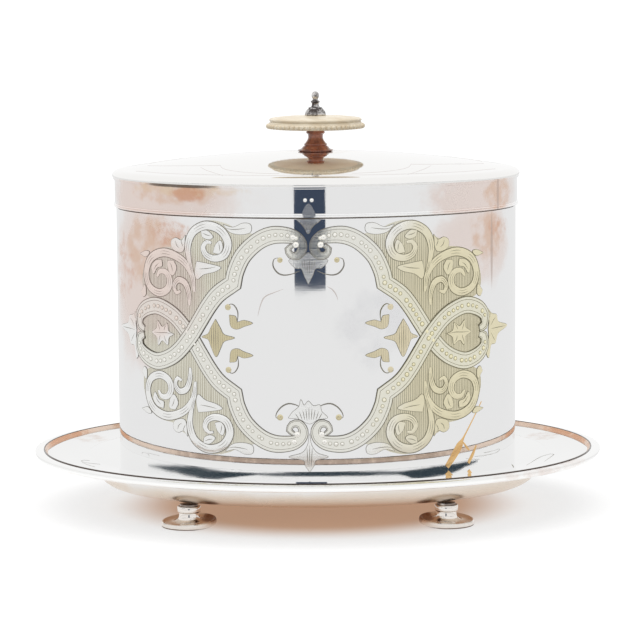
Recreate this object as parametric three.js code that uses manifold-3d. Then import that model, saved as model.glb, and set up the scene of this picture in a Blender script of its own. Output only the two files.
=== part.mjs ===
// An oval silver-plated biscuit box with a hinged lid, fixed to an oval tray on four pad feet.
// Lengths are millimetres. Z is up, the floor is Z = 0, and the front of the box faces -Y.

import * as THREE from 'three';
import { mergeVertices } from 'three/addons/utils/BufferGeometryUtils.js';
import Module from 'manifold-3d';

const wasm = await Module();
wasm.setup();

// Counts of flat sides round each kind of form, all multiples of four.
const ovalSides = 56;
const padSides = 28;
const neckSides = 16;
const discSides = 36;
const stemSides = 24;
const smallSides = 16;

// Clearances shared by every piece, and how near two corners count as one.
const fitGap = 0.3;
const overrun = 5;
const mergeShare = 0.0003;

// The box wall, an oval tube standing on the tray.
const wallHalfWidth = 95;
const wallHalfDepth = 74;
const wallThickness = 1.1;
const wallHeight = 118.2;

// The floor plate inside the wall.
const floorThickness = 1.2;
const floorLipHeight = 5;
const floorLipThickness = 1;

// The bezel, an inner ring that guides the lid.
const bezelThickness = 1;
const bezelRise = 3.6;
const bezelDepth = 9;
const bezelLeadIn = 0.5;

// The tray, a pressed plate with a well under the box.
const trayThickness = 1.2;
const trayBorderWidth = 37.1;
const trayBorderDepth = 32.6;
const wellOutsetAcross = 12;
const wellOutsetDeep = 9;
const wellLipWidth = 2.4;
const wellDepth = 15.9;
const wellFlatInsetAcross = 1;
const wellFlatInsetDeep = 11;
const shoulderWidth = 3;

// The moulding round the edge of the tray.
const rimWidth = 6.2;
const rimCrownWidth = 4.1;
const rimCrownHeight = 2.25;
const rimWidestShare = 0.84;
const rimOverlap = 2.8;
const rimDrop = 0.05;

// The feet, each a dished pad under a turned neck. They stand in from the edge of the well's flat.
const footInsetAcross = 34.3;
const footInsetDeep = 10.5;
const padRadius = 12.8;
const padEdgeHeight = 2.5;
const padRounding = 0.5;
const padBossRadius = 5.2;
const padBossHeight = 3.3;
const padTiltDegrees = 4;
const padWear = 0.5;
const neckRadius = 4.6;
const neckHeight = 1.83;
const collarRadius = 5.5;
const collarHeight = 3.5;
const collarRounding = 0.6;
const tenonRadius = 3.6;
const tenonHeight = 0.7;

// The lid's upright band, with a reeded bead under it and a fillet over it.
const seamGap = 0.3;
const bezelPlay = 0.6;
const bandThickness = 1.1;
const bandOutset = 0.7;
const bandHeight = 11.2;
const beadOutset = 1.2;
const beadHeight = 1.8;
const reedDepth = 0.3;
const filletOutset = 1.4;
const filletThickness = 2.6;
const filletHeight = 1.1;
const filletChamfer = 0.35;

// The domed cover of the lid.
const coverOutset = 1.8;
const coverThickness = 1;
const coverEdgeHeight = 1.2;
const coverRounding = 0.3;
const coverSeatWidth = 3.2;
const crownEdgeRise = 2.36;
const crownRadiusAcross = 549;
const crownRadiusDeep = 350;
const crownEdgeShare = 0.94;
const finialSeatRadius = 9;

// The finial, held by a stud through the lid.
const studRadius = 1.5;
const stemHeight = 10.8;
const stemFootRadius = 8.3;
const stemNeckRadius = 3.5;
const stemCapRadius = 4.4;
const discRadius = 23.6;
const discStepRadius = 21.5;
const discBeadHeight = 2.4;
const discShoulderHeight = 1.2;
const discStepHeight = 1.4;
const discCrownHeight = 1.2;
const discSeatRadius = 5.6;
const discRounding = 0.5;
const nutRadius = 5;
const nutHeight = 11.4;
const nutCollarRadius = 3.3;
const nutNeckRadius = 1.25;
const nutBallRadius = 1.8;
const studReach = 2.2;
const studTopWall = 0.8;
const washerRadius = 6;
const washerThickness = 1;
const lidNutRadius = 3.4;
const lidNutHeight = 2.5;
const studTail = 1.2;

// The hinge across the back of the box at the seam.
const hingeLength = 44;
const knuckleCount = 5;
const knuckleRadius = 2;
const knuckleClearance = 0.4;
const hingePinRadius = 0.9;
const pinPlay = 0.15;
const pinHeadRadius = 1.5;
const pinHeadFaceRadius = 0.9;
const pinHeadLength = 0.8;
const leafThickness = 1;
const leafHeight = 9.5;

// The pads lean outward, and each rests on a flat worn across its lowest edge.
const padTilt = THREE.MathUtils.degToRad(padTiltDegrees);
const padLift = (padRadius - padRounding) * Math.sin(padTilt) - padWear;
const neckBottom = padLift + padBossHeight * Math.cos(padTilt) + neckRadius * Math.sin(padTilt) + fitGap;
const collarBottom = neckBottom + neckHeight;
const collarTop = collarBottom + collarHeight;
const neckTop = collarTop + tenonHeight;

// The cover's edge, and how far the crown falls to it at the sides and at the front.
const coverRim = [wallHalfWidth + coverOutset, wallHalfDepth + coverOutset];
const crownDrop = (size, radius) => size ** 2 / (2 * radius);
const crownFallAcross = crownDrop(coverRim[0] * crownEdgeShare, crownRadiusAcross);
const crownFallDeep = crownDrop(coverRim[1] * crownEdgeShare, crownRadiusDeep);

// Heights worked out from the sizes above.
const trayBottom = neckTop + fitGap;
const borderTop = trayBottom + wellDepth;
const borderBottom = borderTop - trayThickness;
const wallTop = borderTop + wallHeight;
const lidBottom = wallTop + seamGap;
const bandBottom = lidBottom + beadHeight;
const bandTop = bandBottom + bandHeight;
const coverBottom = bandTop + filletHeight;
const coverEdgeTop = coverBottom + coverEdgeHeight;
const crownTop = coverEdgeTop + crownEdgeRise + Math.max(crownFallAcross, crownFallDeep);
const discBottom = crownTop + stemHeight;
const discStepBottom = discBottom + discBeadHeight + discShoulderHeight;
const discTop = discStepBottom + discStepHeight + discCrownHeight;
const boreRadius = studRadius + fitGap;

// The hinge line, just behind the back of the lid's bead.
const leafBack = wallHalfDepth + beadOutset + fitGap + leafThickness;
const hingeLineY = leafBack + knuckleClearance + knuckleRadius;
const hingeLineZ = wallTop + seamGap / 2;

// Materials, one for each kind of stuff.
function stuff(color, roughness, metalness) {
  return new THREE.MeshStandardMaterial({ color, roughness, metalness });
}

const silver = () => stuff(0xd9d6d0, 0.18, 1);
const wornSilver = () => stuff(0xcdbfae, 0.3, 1);
const rosewood = () => stuff(0x6e3f2b, 0.35, 0);
const ivory = () => stuff(0xe6dcbf, 0.45, 0);
const steel = () => stuff(0x8c8c8a, 0.4, 1);

// Merges shared corners, drops flat triangles and turns the faces outward.
function closedBody(source) {
  const bare = source.index ? source.toNonIndexed() : source.clone();
  bare.deleteAttribute('normal');
  bare.deleteAttribute('uv');
  const merged = mergeVertices(bare, fitGap * mergeShare);
  const corners = merged.index.array;
  const place = merged.attributes.position;
  const kept = [];
  let volume = 0;
  const [a, b, c] = [new THREE.Vector3(), new THREE.Vector3(), new THREE.Vector3()];
  for (let i = 0; i < corners.length; i += 3) {
    const [p, q, r] = [corners[i], corners[i + 1], corners[i + 2]];
    if (p === q || q === r || r === p) continue;
    kept.push(p, q, r);
    a.fromBufferAttribute(place, p);
    b.fromBufferAttribute(place, q);
    c.fromBufferAttribute(place, r);
    volume += a.dot(b.cross(c));
  }
  if (volume < 0) kept.reverse();
  merged.setIndex(kept);
  return merged;
}

// A solid from the library of cuts and joins, and the way back.
function toSolid(geometry) {
  const body = closedBody(geometry);
  const vertProperties = new Float32Array(body.attributes.position.array);
  const triVerts = new Uint32Array(body.index.array);
  return new wasm.Manifold(new wasm.Mesh({ numProp: 3, vertProperties, triVerts }));
}

function fromSolid(solid) {
  const mesh = solid.getMesh();
  const geometry = new THREE.BufferGeometry();
  geometry.setAttribute('position', new THREE.BufferAttribute(new Float32Array(mesh.vertProperties), 3));
  geometry.setIndex(new THREE.BufferAttribute(new Uint32Array(mesh.triVerts), 1));
  return geometry;
}

// A ring or disc with an oval plan. Each station is [half width, half depth, height at the sides, height at
// the front and back], listed round the section. A section that starts and ends at the middle is a disc.
function ovalForm(stations, closed) {
  const loop = closed ? [...stations, stations[0]] : stations;
  const outline = loop.map(([width, , height]) => new THREE.Vector2(width, height));
  const geometry = new THREE.LatheGeometry(outline, ovalSides);
  const place = geometry.attributes.position;
  for (let i = 0; i <= ovalSides; i++) {
    const turn = ((i % ovalSides) / ovalSides) * Math.PI * 2;
    for (let j = 0; j < loop.length; j++) {
      const [width, depth, side, front = side] = loop[j];
      const height = side * Math.sin(turn) ** 2 + front * Math.cos(turn) ** 2;
      place.setXYZ(i * loop.length + j, width * Math.sin(turn), -depth * Math.cos(turn), height);
    }
  }
  return closedBody(geometry);
}

// A station at an even distance outside the box wall, or inside it where the distance is negative.
function wallOffset(distance, height) {
  return [wallHalfWidth + distance, wallHalfDepth + distance, height];
}

// A round form turned about Z. A closed outline leaves a bore through it.
function turnedForm(outline, sides, closed) {
  const loop = closed ? [...outline, outline[0]] : outline;
  const points = loop.map(([radius, height]) => new THREE.Vector2(radius, height));
  return closedBody(new THREE.LatheGeometry(points, sides).rotateX(Math.PI / 2));
}

// A rectangle section between two distances from the wall and two heights.
function plainRing(inner, outer, bottom, top) {
  return ovalForm(
    [wallOffset(inner, bottom), wallOffset(outer, bottom), wallOffset(outer, top), wallOffset(inner, top)],
    true,
  );
}

const box = new THREE.Group();

function addPiece(name, geometry, material, parent = box) {
  const mesh = new THREE.Mesh(closedBody(geometry), material);
  mesh.name = name;
  parent.add(mesh);
  return mesh;
}

// The tray plate: a flat border, a shoulder that carries the wall, and a well that hangs under the box.
const wellStart = [wallHalfWidth + wellOutsetAcross, wallHalfDepth + wellOutsetDeep];
const borderEdge = [wallHalfWidth + trayBorderWidth, wallHalfDepth + trayBorderDepth];
const wellFlat = [wallHalfWidth - wellFlatInsetAcross, wallHalfDepth - wellFlatInsetDeep];
const shoulderEdge = [wallHalfWidth - shoulderWidth, wallHalfDepth - shoulderWidth];

function between(from, to, share) {
  return from.map((value, i) => value + (to[i] - value) * share);
}

function trayPlate() {
  // Shares of the way out from the flat of the well to its upper edge, and of the height gained by then.
  const wellRiseShares = [[0, 0], [0.4, 0.07], [0.7, 0.23], [0.9, 0.5], [1, 0.86]];
  const hollowShares = [[1, 1], [0.86, 0.6], [0.6, 0.3], [0.2, 0.08], [0, 0]];
  const hollowFlatShare = 0.86;
  const underRise = borderBottom - trayBottom;
  const under = wellRiseShares.map(([out, up]) => [
    ...between(wellFlat, wellStart, out), trayBottom + underRise * up,
  ]);
  const hollowFlat = wellFlat.map((size) => size * hollowFlatShare);
  const hollowBottom = trayBottom + trayThickness;
  const hollow = hollowShares.map(([out, up]) => [
    ...between(hollowFlat, shoulderEdge, out), hollowBottom + (borderTop - hollowBottom) * up,
  ]);
  return ovalForm([
    [0, 0, trayBottom],
    ...under,
    [...wellStart.map((size) => size + wellLipWidth), borderBottom],
    [...borderEdge, borderBottom],
    [...borderEdge, borderTop],
    ...hollow,
    [0, 0, hollowBottom],
  ]);
}

addPiece('tray_plate', trayPlate(), silver());

// The rim moulding: a rounded crown outside, two small steps inside, standing on the plate's edge.
function trayRim() {
  const rimOuter = borderEdge.map((size) => size + rimWidth - rimOverlap);
  const inset = (distance, height) => [...rimOuter.map((size) => size - distance), height];
  const crownTopZ = borderTop + rimCrownHeight;
  const rimBottom = borderBottom - rimDrop;
  const crownWidest = rimBottom + (crownTopZ - rimBottom) * rimWidestShare;
  const edgeInset = rimWidth - rimOverlap - fitGap;
  // Half a turn from the foot of the crown, against the plate's edge, to its crest.
  const crownSteps = 6;
  const crown = [];
  for (let i = 0; i <= crownSteps; i++) {
    const turn = (i / crownSteps) * Math.PI - Math.PI / 2;
    const width = turn < 0 ? edgeInset : rimCrownWidth;
    const height = turn < 0 ? crownWidest - rimBottom : crownTopZ - crownWidest;
    crown.push(inset(width - width * Math.cos(turn), crownWidest + height * Math.sin(turn)));
  }
  const stepShares = [[0.12, 0.78], [0.5, 0.62], [0.62, 0.4], [1, 0.24], [1, 0]];
  const steps = stepShares.map(([inShare, upShare]) =>
    inset(rimCrownWidth + (rimWidth - rimCrownWidth) * inShare, borderTop + rimCrownHeight * upShare));
  return ovalForm([...crown, ...steps, inset(edgeInset, borderTop)], true);
}

addPiece('tray_rim', trayRim(), wornSilver());

// The box: wall, floor with a turned-up lip, and bezel.
const innerFace = -wallThickness;
const fittedFace = innerFace - fitGap;

addPiece('body_wall', plainRing(innerFace, 0, borderTop, wallTop), silver());

function boxFloor() {
  const lipInner = fittedFace - floorLipThickness;
  const floorTop = borderTop + floorThickness;
  return ovalForm([
    [0, 0, borderTop],
    wallOffset(fittedFace, borderTop),
    wallOffset(fittedFace, borderTop + floorLipHeight),
    wallOffset(lipInner, borderTop + floorLipHeight),
    wallOffset(lipInner, floorTop),
    [0, 0, floorTop],
  ]);
}

addPiece('body_floor', boxFloor(), silver());

function bezel() {
  const bezelTop = wallTop + bezelRise;
  const inner = fittedFace - bezelThickness;
  return ovalForm([
    wallOffset(inner, wallTop - bezelDepth),
    wallOffset(fittedFace, wallTop - bezelDepth),
    wallOffset(fittedFace, bezelTop - bezelLeadIn),
    wallOffset(fittedFace - bezelLeadIn, bezelTop),
    wallOffset(inner, bezelTop),
  ], true);
}

addPiece('body_bezel', bezel(), silver());

// The lid's bead, with two reeds on its outer face.
function lidBead() {
  const reedShares = [[0, 1], [0.12, 0], [0.38, 0], [0.5, 1], [0.62, 0], [0.88, 0], [1, 1]];
  const reeds = reedShares.map(([up, sunk]) =>
    wallOffset(beadOutset - reedDepth * sunk, lidBottom + beadHeight * up));
  const inner = fittedFace + bezelPlay;
  return ovalForm([wallOffset(inner, lidBottom), ...reeds, wallOffset(inner, bandBottom)], true);
}

addPiece('lid_bead', lidBead(), silver());
addPiece('lid_band', plainRing(bandOutset - bandThickness, bandOutset, bandBottom, bandTop), silver());

function lidFillet() {
  const inner = filletOutset - filletThickness;
  return ovalForm([
    wallOffset(inner, bandTop),
    wallOffset(filletOutset - filletChamfer, bandTop),
    wallOffset(filletOutset, bandTop + filletChamfer),
    wallOffset(filletOutset, coverBottom),
    wallOffset(inner, coverBottom),
  ], true);
}

addPiece('lid_fillet', lidFillet(), silver());

// The domed cover: a shallow crown with a rolled edge, and a flat seat with a hole for the finial's stud.
function lidCover() {
  const seat = [finialSeatRadius, finialSeatRadius];
  const crownShares = [0.2, 0.36, 0.52, 0.67, 0.81, crownEdgeShare];
  const crown = crownShares.map((share) => {
    const [width, depth] = coverRim.map((size) => size * share);
    const [fallAcross, fallDeep] = [crownDrop(width, crownRadiusAcross), crownDrop(depth, crownRadiusDeep)];
    return [width, depth, crownTop - fallAcross, crownTop - fallDeep];
  });
  // The rolled edge, as shares of the way out to the rim and of the way down to it.
  const edge = crown[crown.length - 1];
  const rollShares = [[0.4, 0.16], [0.75, 0.46], [0.94, 0.8]];
  const rimHeights = [coverEdgeTop, coverEdgeTop];
  const roll = rollShares.map(([out, down]) => [
    ...between(edge.slice(0, 2), coverRim, out), ...between(edge.slice(2), rimHeights, down),
  ]);
  const insideSize = coverRim.map((size) => size - coverSeatWidth);
  const lower = ([width, depth, ...heights]) => [width, depth, ...heights.map((z) => z - coverThickness)];
  const inside = crown.filter(([width]) => width < insideSize[0] * crownEdgeShare).reverse().map(lower);
  return ovalForm([
    [boreRadius, boreRadius, crownTop],
    [...seat, crownTop],
    ...crown,
    ...roll,
    [...coverRim, coverEdgeTop - coverRounding],
    [...coverRim, coverBottom + coverRounding],
    [...coverRim.map((size) => size - coverRounding), coverBottom],
    [...insideSize, coverBottom],
    ...inside,
    [...seat, crownTop - coverThickness],
    [boreRadius, boreRadius, crownTop - coverThickness],
  ], true);
}

addPiece('lid_cover', lidCover(), silver());

// The finial: stem, disc, nut, and the stud with its washer and nut inside the lid.
function finialStem() {
  // Shares of each part's radius and of the stem's height.
  const footShares = [[0.9, 0], [1, 0.055], [0.78, 0.16], [0.66, 0.29], [0.58, 0.34]];
  const neckShares = [[1.18, 0.46], [1, 0.58], [1, 0.7]];
  const capShares = [[1, 0.8], [1, 1]];
  const turned = (radius, shares) => shares.map(([out, up]) => [radius * out, crownTop + stemHeight * up]);
  return turnedForm([
    [boreRadius, crownTop],
    ...turned(stemFootRadius, footShares),
    ...turned(stemNeckRadius, neckShares),
    ...turned(stemCapRadius, capShares),
    [boreRadius, discBottom],
  ], stemSides, true);
}

function finialDisc() {
  const stepTop = discStepBottom + discStepHeight;
  const shoulderRadius = (discRadius + discStepRadius) / 2;
  const swellShare = 0.75;
  return turnedForm([
    [boreRadius, discBottom],
    [discRadius - discRounding, discBottom],
    [discRadius, discBottom + discRounding],
    [discRadius, discBottom + discBeadHeight - discRounding],
    [shoulderRadius, discBottom + discBeadHeight],
    [discStepRadius, discStepBottom],
    [discStepRadius, stepTop - discRounding],
    [discStepRadius - discRounding, stepTop],
    [(discStepRadius + discSeatRadius) / 2, stepTop + discCrownHeight * swellShare],
    [discSeatRadius, discTop],
    [boreRadius, discTop],
  ], discSides, true);
}

const studTop = discTop + studReach;

function finialNut() {
  // Shares of each part's radius and of the nut's height, then of the ball's radius.
  const domeShares = [[1, 0], [0.97, 0.1], [0.86, 0.2], [0.7, 0.3], [0.66, 0.34]];
  const collarShares = [[0.55, 0.37], [0.52, 0.54], [0.63, 0.57], [0.6, 0.62]];
  const neckShares = [[1, 0.64], [1, 0.7]];
  const ballShares = [-0.6, 0, 0.6];
  const turned = (radius, shares) => shares.map(([out, up]) => [radius * out, discTop + nutHeight * up]);
  const top = discTop + nutHeight;
  const ballCentre = top - nutBallRadius;
  const ball = ballShares.map((up) => [
    nutBallRadius * Math.sqrt(1 - up ** 2), ballCentre + nutBallRadius * up,
  ]);
  return turnedForm([
    [0, studTop + studTopWall],
    [boreRadius, studTop + studTopWall],
    [boreRadius, discTop],
    ...turned(nutRadius, domeShares),
    ...turned(nutCollarRadius, collarShares),
    ...turned(nutNeckRadius, neckShares),
    ...ball,
    [0, top],
  ], smallSides);
}

const washerTop = crownTop - coverThickness;
const lidNutTop = washerTop - washerThickness;

addPiece('finial_stem', finialStem(), rosewood());
addPiece('finial_disc', finialDisc(), ivory());
addPiece('finial_nut', finialNut(), silver());

function tube(inner, outer, bottom, top, sides) {
  return turnedForm([[inner, bottom], [outer, bottom], [outer, top], [inner, top]], sides, true);
}

addPiece('lid_washer', tube(boreRadius, washerRadius, lidNutTop, washerTop, smallSides), silver());

const hexSides = 6;

function lidNut() {
  const blank = turnedForm([
    [0, lidNutTop - lidNutHeight],
    [lidNutRadius, lidNutTop - lidNutHeight],
    [lidNutRadius, lidNutTop],
    [0, lidNutTop],
  ], hexSides);
  const drill = turnedForm([
    [0, lidNutTop - lidNutHeight - overrun],
    [boreRadius, lidNutTop - lidNutHeight - overrun],
    [boreRadius, lidNutTop + overrun],
    [0, lidNutTop + overrun],
  ], smallSides);
  return fromSolid(toSolid(blank).subtract(toSolid(drill)));
}

addPiece('lid_nut', lidNut(), steel());

function finialStud() {
  const bottom = lidNutTop - lidNutHeight - studTail;
  return turnedForm([[0, bottom], [studRadius, bottom], [studRadius, studTop], [0, studTop]], smallSides);
}

addPiece('finial_stud', finialStud(), steel());

// The hinge: two leaves with knuckles in turn, and the pin through them.
const knucklePitch = hingeLength / knuckleCount;
const pinBore = hingePinRadius + pinPlay;

function knuckleStart(index) {
  return -hingeLength / 2 + knucklePitch * index;
}

// Points round a circle on the hinge line, from one turn to another, both in radians.
function hingeArc(radius, from, to, steps) {
  const points = [];
  for (let i = 0; i <= steps; i++) {
    const turn = from + ((to - from) * i) / steps;
    const [across, up] = [radius * Math.cos(turn), radius * Math.sin(turn)];
    points.push(new THREE.Vector2(hingeLineY + across, hingeLineZ + up));
  }
  return points;
}

// A knuckle with the web that joins it to its leaf. The side is 1 above the hinge line and -1 below it.
function knuckle(index, side) {
  const webRoot = leafBack - leafThickness / 2;
  const barrelShare = 3 / 4;
  const shape = new THREE.Shape([
    new THREE.Vector2(webRoot, hingeLineZ),
    new THREE.Vector2(webRoot, hingeLineZ + side * knuckleRadius),
    ...hingeArc(knuckleRadius, (side * Math.PI) / 2, -side * Math.PI, smallSides * barrelShare),
  ]);
  // The bore's corners lie half a step off the hinge line, clear of the web's edge.
  const halfStep = Math.PI / smallSides;
  shape.holes.push(new THREE.Path(hingeArc(pinBore, halfStep, Math.PI * 2 - halfStep, smallSides - 1)));
  const length = knucklePitch - fitGap;
  const solid = new THREE.ExtrudeGeometry(shape, { depth: length, bevelEnabled: false });
  // The drawing plane is Y-Z, and the extrusion runs along X.
  const toYZ = new THREE.Matrix4().makeBasis(
    new THREE.Vector3(0, 1, 0), new THREE.Vector3(0, 0, 1), new THREE.Vector3(1, 0, 0));
  return solid.applyMatrix4(toYZ).translate(knuckleStart(index) + fitGap / 2, 0, 0);
}

// A leaf: flat at the back, and hollowed in front to follow the oval with a gap for the solder.
function leafPlate(outset, bottom, top) {
  const faceSteps = 8;
  const halfLength = hingeLength / 2;
  const shape = new THREE.Shape();
  shape.moveTo(halfLength, leafBack);
  shape.lineTo(-halfLength, leafBack);
  const faceWidth = wallHalfWidth + outset + fitGap;
  const faceDepth = wallHalfDepth + outset + fitGap;
  for (let i = 0; i <= faceSteps; i++) {
    const across = -halfLength + (hingeLength * i) / faceSteps;
    shape.lineTo(across, faceDepth * Math.sqrt(1 - (across / faceWidth) ** 2));
  }
  const solid = new THREE.ExtrudeGeometry(shape, { depth: top - bottom, bevelEnabled: false });
  return solid.translate(0, 0, bottom);
}

function hingeLeaf(side, outset, bottom, top) {
  let solid = toSolid(leafPlate(outset, bottom, top));
  const first = side < 0 ? 0 : 1;
  for (let index = first; index < knuckleCount; index += 2) {
    solid = solid.add(toSolid(knuckle(index, side)));
  }
  return fromSolid(solid);
}

const bodyLeafTop = hingeLineZ - fitGap / 2;
const lidLeafBottom = hingeLineZ + fitGap / 2;

addPiece('body_hinge_leaf', hingeLeaf(-1, 0, bodyLeafTop - leafHeight, bodyLeafTop), silver());
addPiece('lid_hinge_leaf', hingeLeaf(1, beadOutset, lidLeafBottom, lidLeafBottom + leafHeight), silver());

function hingePin() {
  const half = hingeLength / 2 + fitGap;
  const headEnd = half + pinHeadLength;
  const outline = [
    [0, -headEnd],
    [pinHeadFaceRadius, -headEnd],
    [pinHeadRadius, -half],
    [hingePinRadius, -half],
    [hingePinRadius, half],
    [pinHeadRadius, half],
    [pinHeadFaceRadius, headEnd],
    [0, headEnd],
  ];
  return turnedForm(outline, smallSides).rotateY(Math.PI / 2);
}

const pin = addPiece('hinge_pin', hingePin(), steel());
pin.position.set(0, hingeLineY, hingeLineZ);

// The feet. In a foot's own frame +X points away from the middle of the tray.
function footPad() {
  const dishShares = [[0.9, 0.84], [0.74, 0.78], [0.54, 0.94]];
  const dish = dishShares.map(([out, up]) => [padRadius * out, padEdgeHeight * up]);
  const upright = turnedForm([
    [0, 0],
    [padRadius - padRounding, 0],
    [padRadius, padRounding],
    [padRadius, padEdgeHeight - padRounding],
    [padRadius - padRounding, padEdgeHeight],
    ...dish,
    [padBossRadius, padBossHeight],
    [0, padBossHeight],
  ], padSides);
  upright.rotateY(padTilt);
  upright.translate(0, 0, padLift);
  const groundSize = 2 * (padRadius + overrun);
  const ground = new THREE.BoxGeometry(groundSize, groundSize, overrun);
  ground.translate(0, 0, -overrun / 2);
  return fromSolid(toSolid(upright).subtract(toSolid(ground)));
}

function footNeck() {
  return turnedForm([
    [0, neckBottom],
    [neckRadius, neckBottom],
    [neckRadius, collarBottom],
    [collarRadius, collarBottom + collarRounding],
    [collarRadius, collarTop - collarRounding],
    [collarRadius - collarRounding, collarTop],
    [tenonRadius, collarTop],
    [tenonRadius, neckTop],
    [0, neckTop],
  ], neckSides);
}

for (const [depthName, ySign] of [['front', -1], ['back', 1]]) {
  for (const [widthName, xSign] of [['left', -1], ['right', 1]]) {
    const foot = new THREE.Group();
    foot.position.set(xSign * (wellFlat[0] - footInsetAcross), ySign * (wellFlat[1] - footInsetDeep), 0);
    foot.rotation.z = Math.atan2(foot.position.y, foot.position.x);
    addPiece(`foot_pad_${depthName}_${widthName}`, footPad(), wornSilver(), foot);
    addPiece(`foot_neck_${depthName}_${widthName}`, footNeck(), wornSilver(), foot);
    box.add(foot);
  }
}

export default box;
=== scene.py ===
# An oval silver-plated biscuit box with an engraved wall, a hinged domed lid and an ivory finial, on an
# oval tray with four pad feet. It is in metres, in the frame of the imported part, with the front at -Y.

import bisect
import math
import random

import bmesh
import bpy
from mathutils import Matrix, Vector


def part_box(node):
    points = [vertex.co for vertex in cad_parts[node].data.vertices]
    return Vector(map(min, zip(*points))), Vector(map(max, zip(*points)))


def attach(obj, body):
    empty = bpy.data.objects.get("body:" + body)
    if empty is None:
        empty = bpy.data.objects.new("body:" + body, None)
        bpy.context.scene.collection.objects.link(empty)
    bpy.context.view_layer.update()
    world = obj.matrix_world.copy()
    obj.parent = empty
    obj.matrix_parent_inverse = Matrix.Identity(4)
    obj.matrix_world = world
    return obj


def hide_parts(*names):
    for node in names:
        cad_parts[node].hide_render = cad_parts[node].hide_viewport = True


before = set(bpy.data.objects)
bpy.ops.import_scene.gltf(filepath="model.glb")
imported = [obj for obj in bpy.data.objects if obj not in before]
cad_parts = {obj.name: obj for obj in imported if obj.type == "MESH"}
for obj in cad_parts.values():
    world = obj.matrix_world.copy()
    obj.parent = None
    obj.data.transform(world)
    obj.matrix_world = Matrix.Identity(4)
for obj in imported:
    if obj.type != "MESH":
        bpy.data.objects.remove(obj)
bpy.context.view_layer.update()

mm = 0.001


# The camera
# It looks slightly down on the front from a long way off, and leans a hair to the left. Its place and its
# lens come from the ovals of the lid, the wall and the tray as photographed.

camera_distance = 1.3701
camera_height = 0.26
camera_azimuth = math.radians(0.127)
camera_pitch = math.radians(7.051)
camera_lean = math.radians(0.374)
camera_aim = math.radians(0.016)
focal_length_pixels = 2883.5
picture_pixels = 635

camera_data = bpy.data.cameras.new("camera")
camera_data.lens = camera_data.sensor_width * focal_length_pixels / picture_pixels
camera = bpy.data.objects.new("camera", camera_data)
bpy.context.scene.collection.objects.link(camera)
bpy.context.scene.camera = camera
camera.matrix_world = (
    Matrix.Rotation(camera_azimuth, 4, "Z")
    @ Matrix.Translation((0, -camera_distance, camera_height))
    @ Matrix.Rotation(-camera_aim, 4, "Z")
    @ Matrix.Rotation(math.pi / 2 - camera_pitch, 4, "X")
    @ Matrix.Rotation(-camera_lean, 4, "Z")
)


# The studio
# A pale floor in a plain bright room under one broad soft lamp. Two dark gaps in the room's white walls
# show only in the polished silver.


def srgb(red, green, blue):
    """A colour as a screen shows it, from 11 to 255 each, as the linear colour that a shader takes."""
    return (*(((part / 255 + 0.055) / 1.055) ** 2.4 for part in (red, green, blue)), 1)


def new_material(name):
    """An empty material and its node tree."""
    material = bpy.data.materials.new(name)
    material.use_nodes = True
    material.node_tree.nodes.clear()
    return material, material.node_tree


def add_node(tree, kind, *inputs, **values):
    """A node of this kind. Each value sets the socket of its name, or else the node's own property, and
    inputs fill the sockets in their order. Another node's output is linked."""
    node = tree.nodes.new("ShaderNode" + kind)
    for name, value in values.items():
        socket = node.inputs.get(name.replace("_", " ").title())
        if socket is None:
            setattr(node, name, value)
        else:
            fill_socket(tree, socket, value)
    for socket, value in zip(node.inputs, inputs):
        fill_socket(tree, socket, value)
    return node


def fill_socket(tree, socket, value):
    if isinstance(value, bpy.types.NodeSocket):
        tree.links.new(value, socket)
    else:
        socket.default_value = value


def combine(tree, operation, first, second, third=0.0):
    """Two or three numbers or outputs worked into one."""
    return add_node(tree, "Math", first, second, third, operation=operation).outputs[0]


def fade(tree, value, start, end):
    """0 at the start and 1 at the end, with a soft change between."""
    return add_node(tree, "MapRange", value, start, end, interpolation_type="SMOOTHSTEP").outputs[0]


def blend(tree, mask, first, second):
    """The first colour, turning into the second where the mask is 1."""
    return add_node(tree, "Mix", data_type="RGBA", factor=mask, a=first, b=second).outputs["Result"]


room_light = 0.5
world = bpy.data.worlds.new("room")
world.use_nodes = True
room = world.node_tree
room.nodes.clear()
room_rays = add_node(room, "LightPath").outputs
room_shown = combine(room, "MAXIMUM", room_rays["Is Camera Ray"], room_rays["Is Glossy Ray"])
room_shown = combine(room, "MAXIMUM", room_shown, room_rays["Is Transmission Ray"])
room_strength = combine(room, "MULTIPLY_ADD", room_shown, 1 - room_light, room_light)
background = add_node(room, "Background", color=(1, 1, 1, 1), strength=room_strength)
add_node(room, "OutputWorld", background.outputs[0])
bpy.context.scene.world = world
bpy.context.scene.view_settings.view_transform = "Standard"


def new_object(name, form, material):
    """Makes a bmesh an object of one material, and frees the bmesh."""
    mesh = bpy.data.meshes.new(name)
    form.to_mesh(mesh)
    form.free()
    mesh.materials.append(material)
    made = bpy.data.objects.new(name, mesh)
    bpy.context.scene.collection.objects.link(made)
    return made


# The floor shows its own shade and the box's shadow, and a little light of its own brings it up to white.
# Under the box it is a painted warm shadow, a darker brown shade with a warm light. The silver sees the
# floor dimmer, but brighter near the box, which is painted light for the tray's underside.
floor_half = 30
camera_glow = 0.66
metal_glow = 0.415
metal_glow_near = 0.35
floor_paper, floor_tree = new_material("floor_paper")
floor_place = add_node(floor_tree, "TexCoord").outputs["Object"]
floor_reach = (0.105, 0.092, 1)
floor_share = add_node(floor_tree, "VectorMath", floor_place, floor_reach, operation="DIVIDE").outputs[0]
floor_away = add_node(floor_tree, "VectorMath", floor_share, operation="LENGTH").outputs["Value"]
floor_painted_shadow = fade(floor_tree, floor_away, 0.99, 0.6)
floor_painted_glow = fade(floor_tree, floor_away, 2.2, 1.1)
floor_tint = blend(floor_tree, floor_painted_shadow, srgb(170, 170, 170), srgb(172, 148, 128))
floor_warmth = blend(floor_tree, floor_painted_shadow, srgb(255, 255, 255), srgb(192, 160, 136))
floor_rays = add_node(floor_tree, "LightPath").outputs
floor_straight = combine(floor_tree, "MULTIPLY", floor_rays["Is Camera Ray"], camera_glow)
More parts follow.
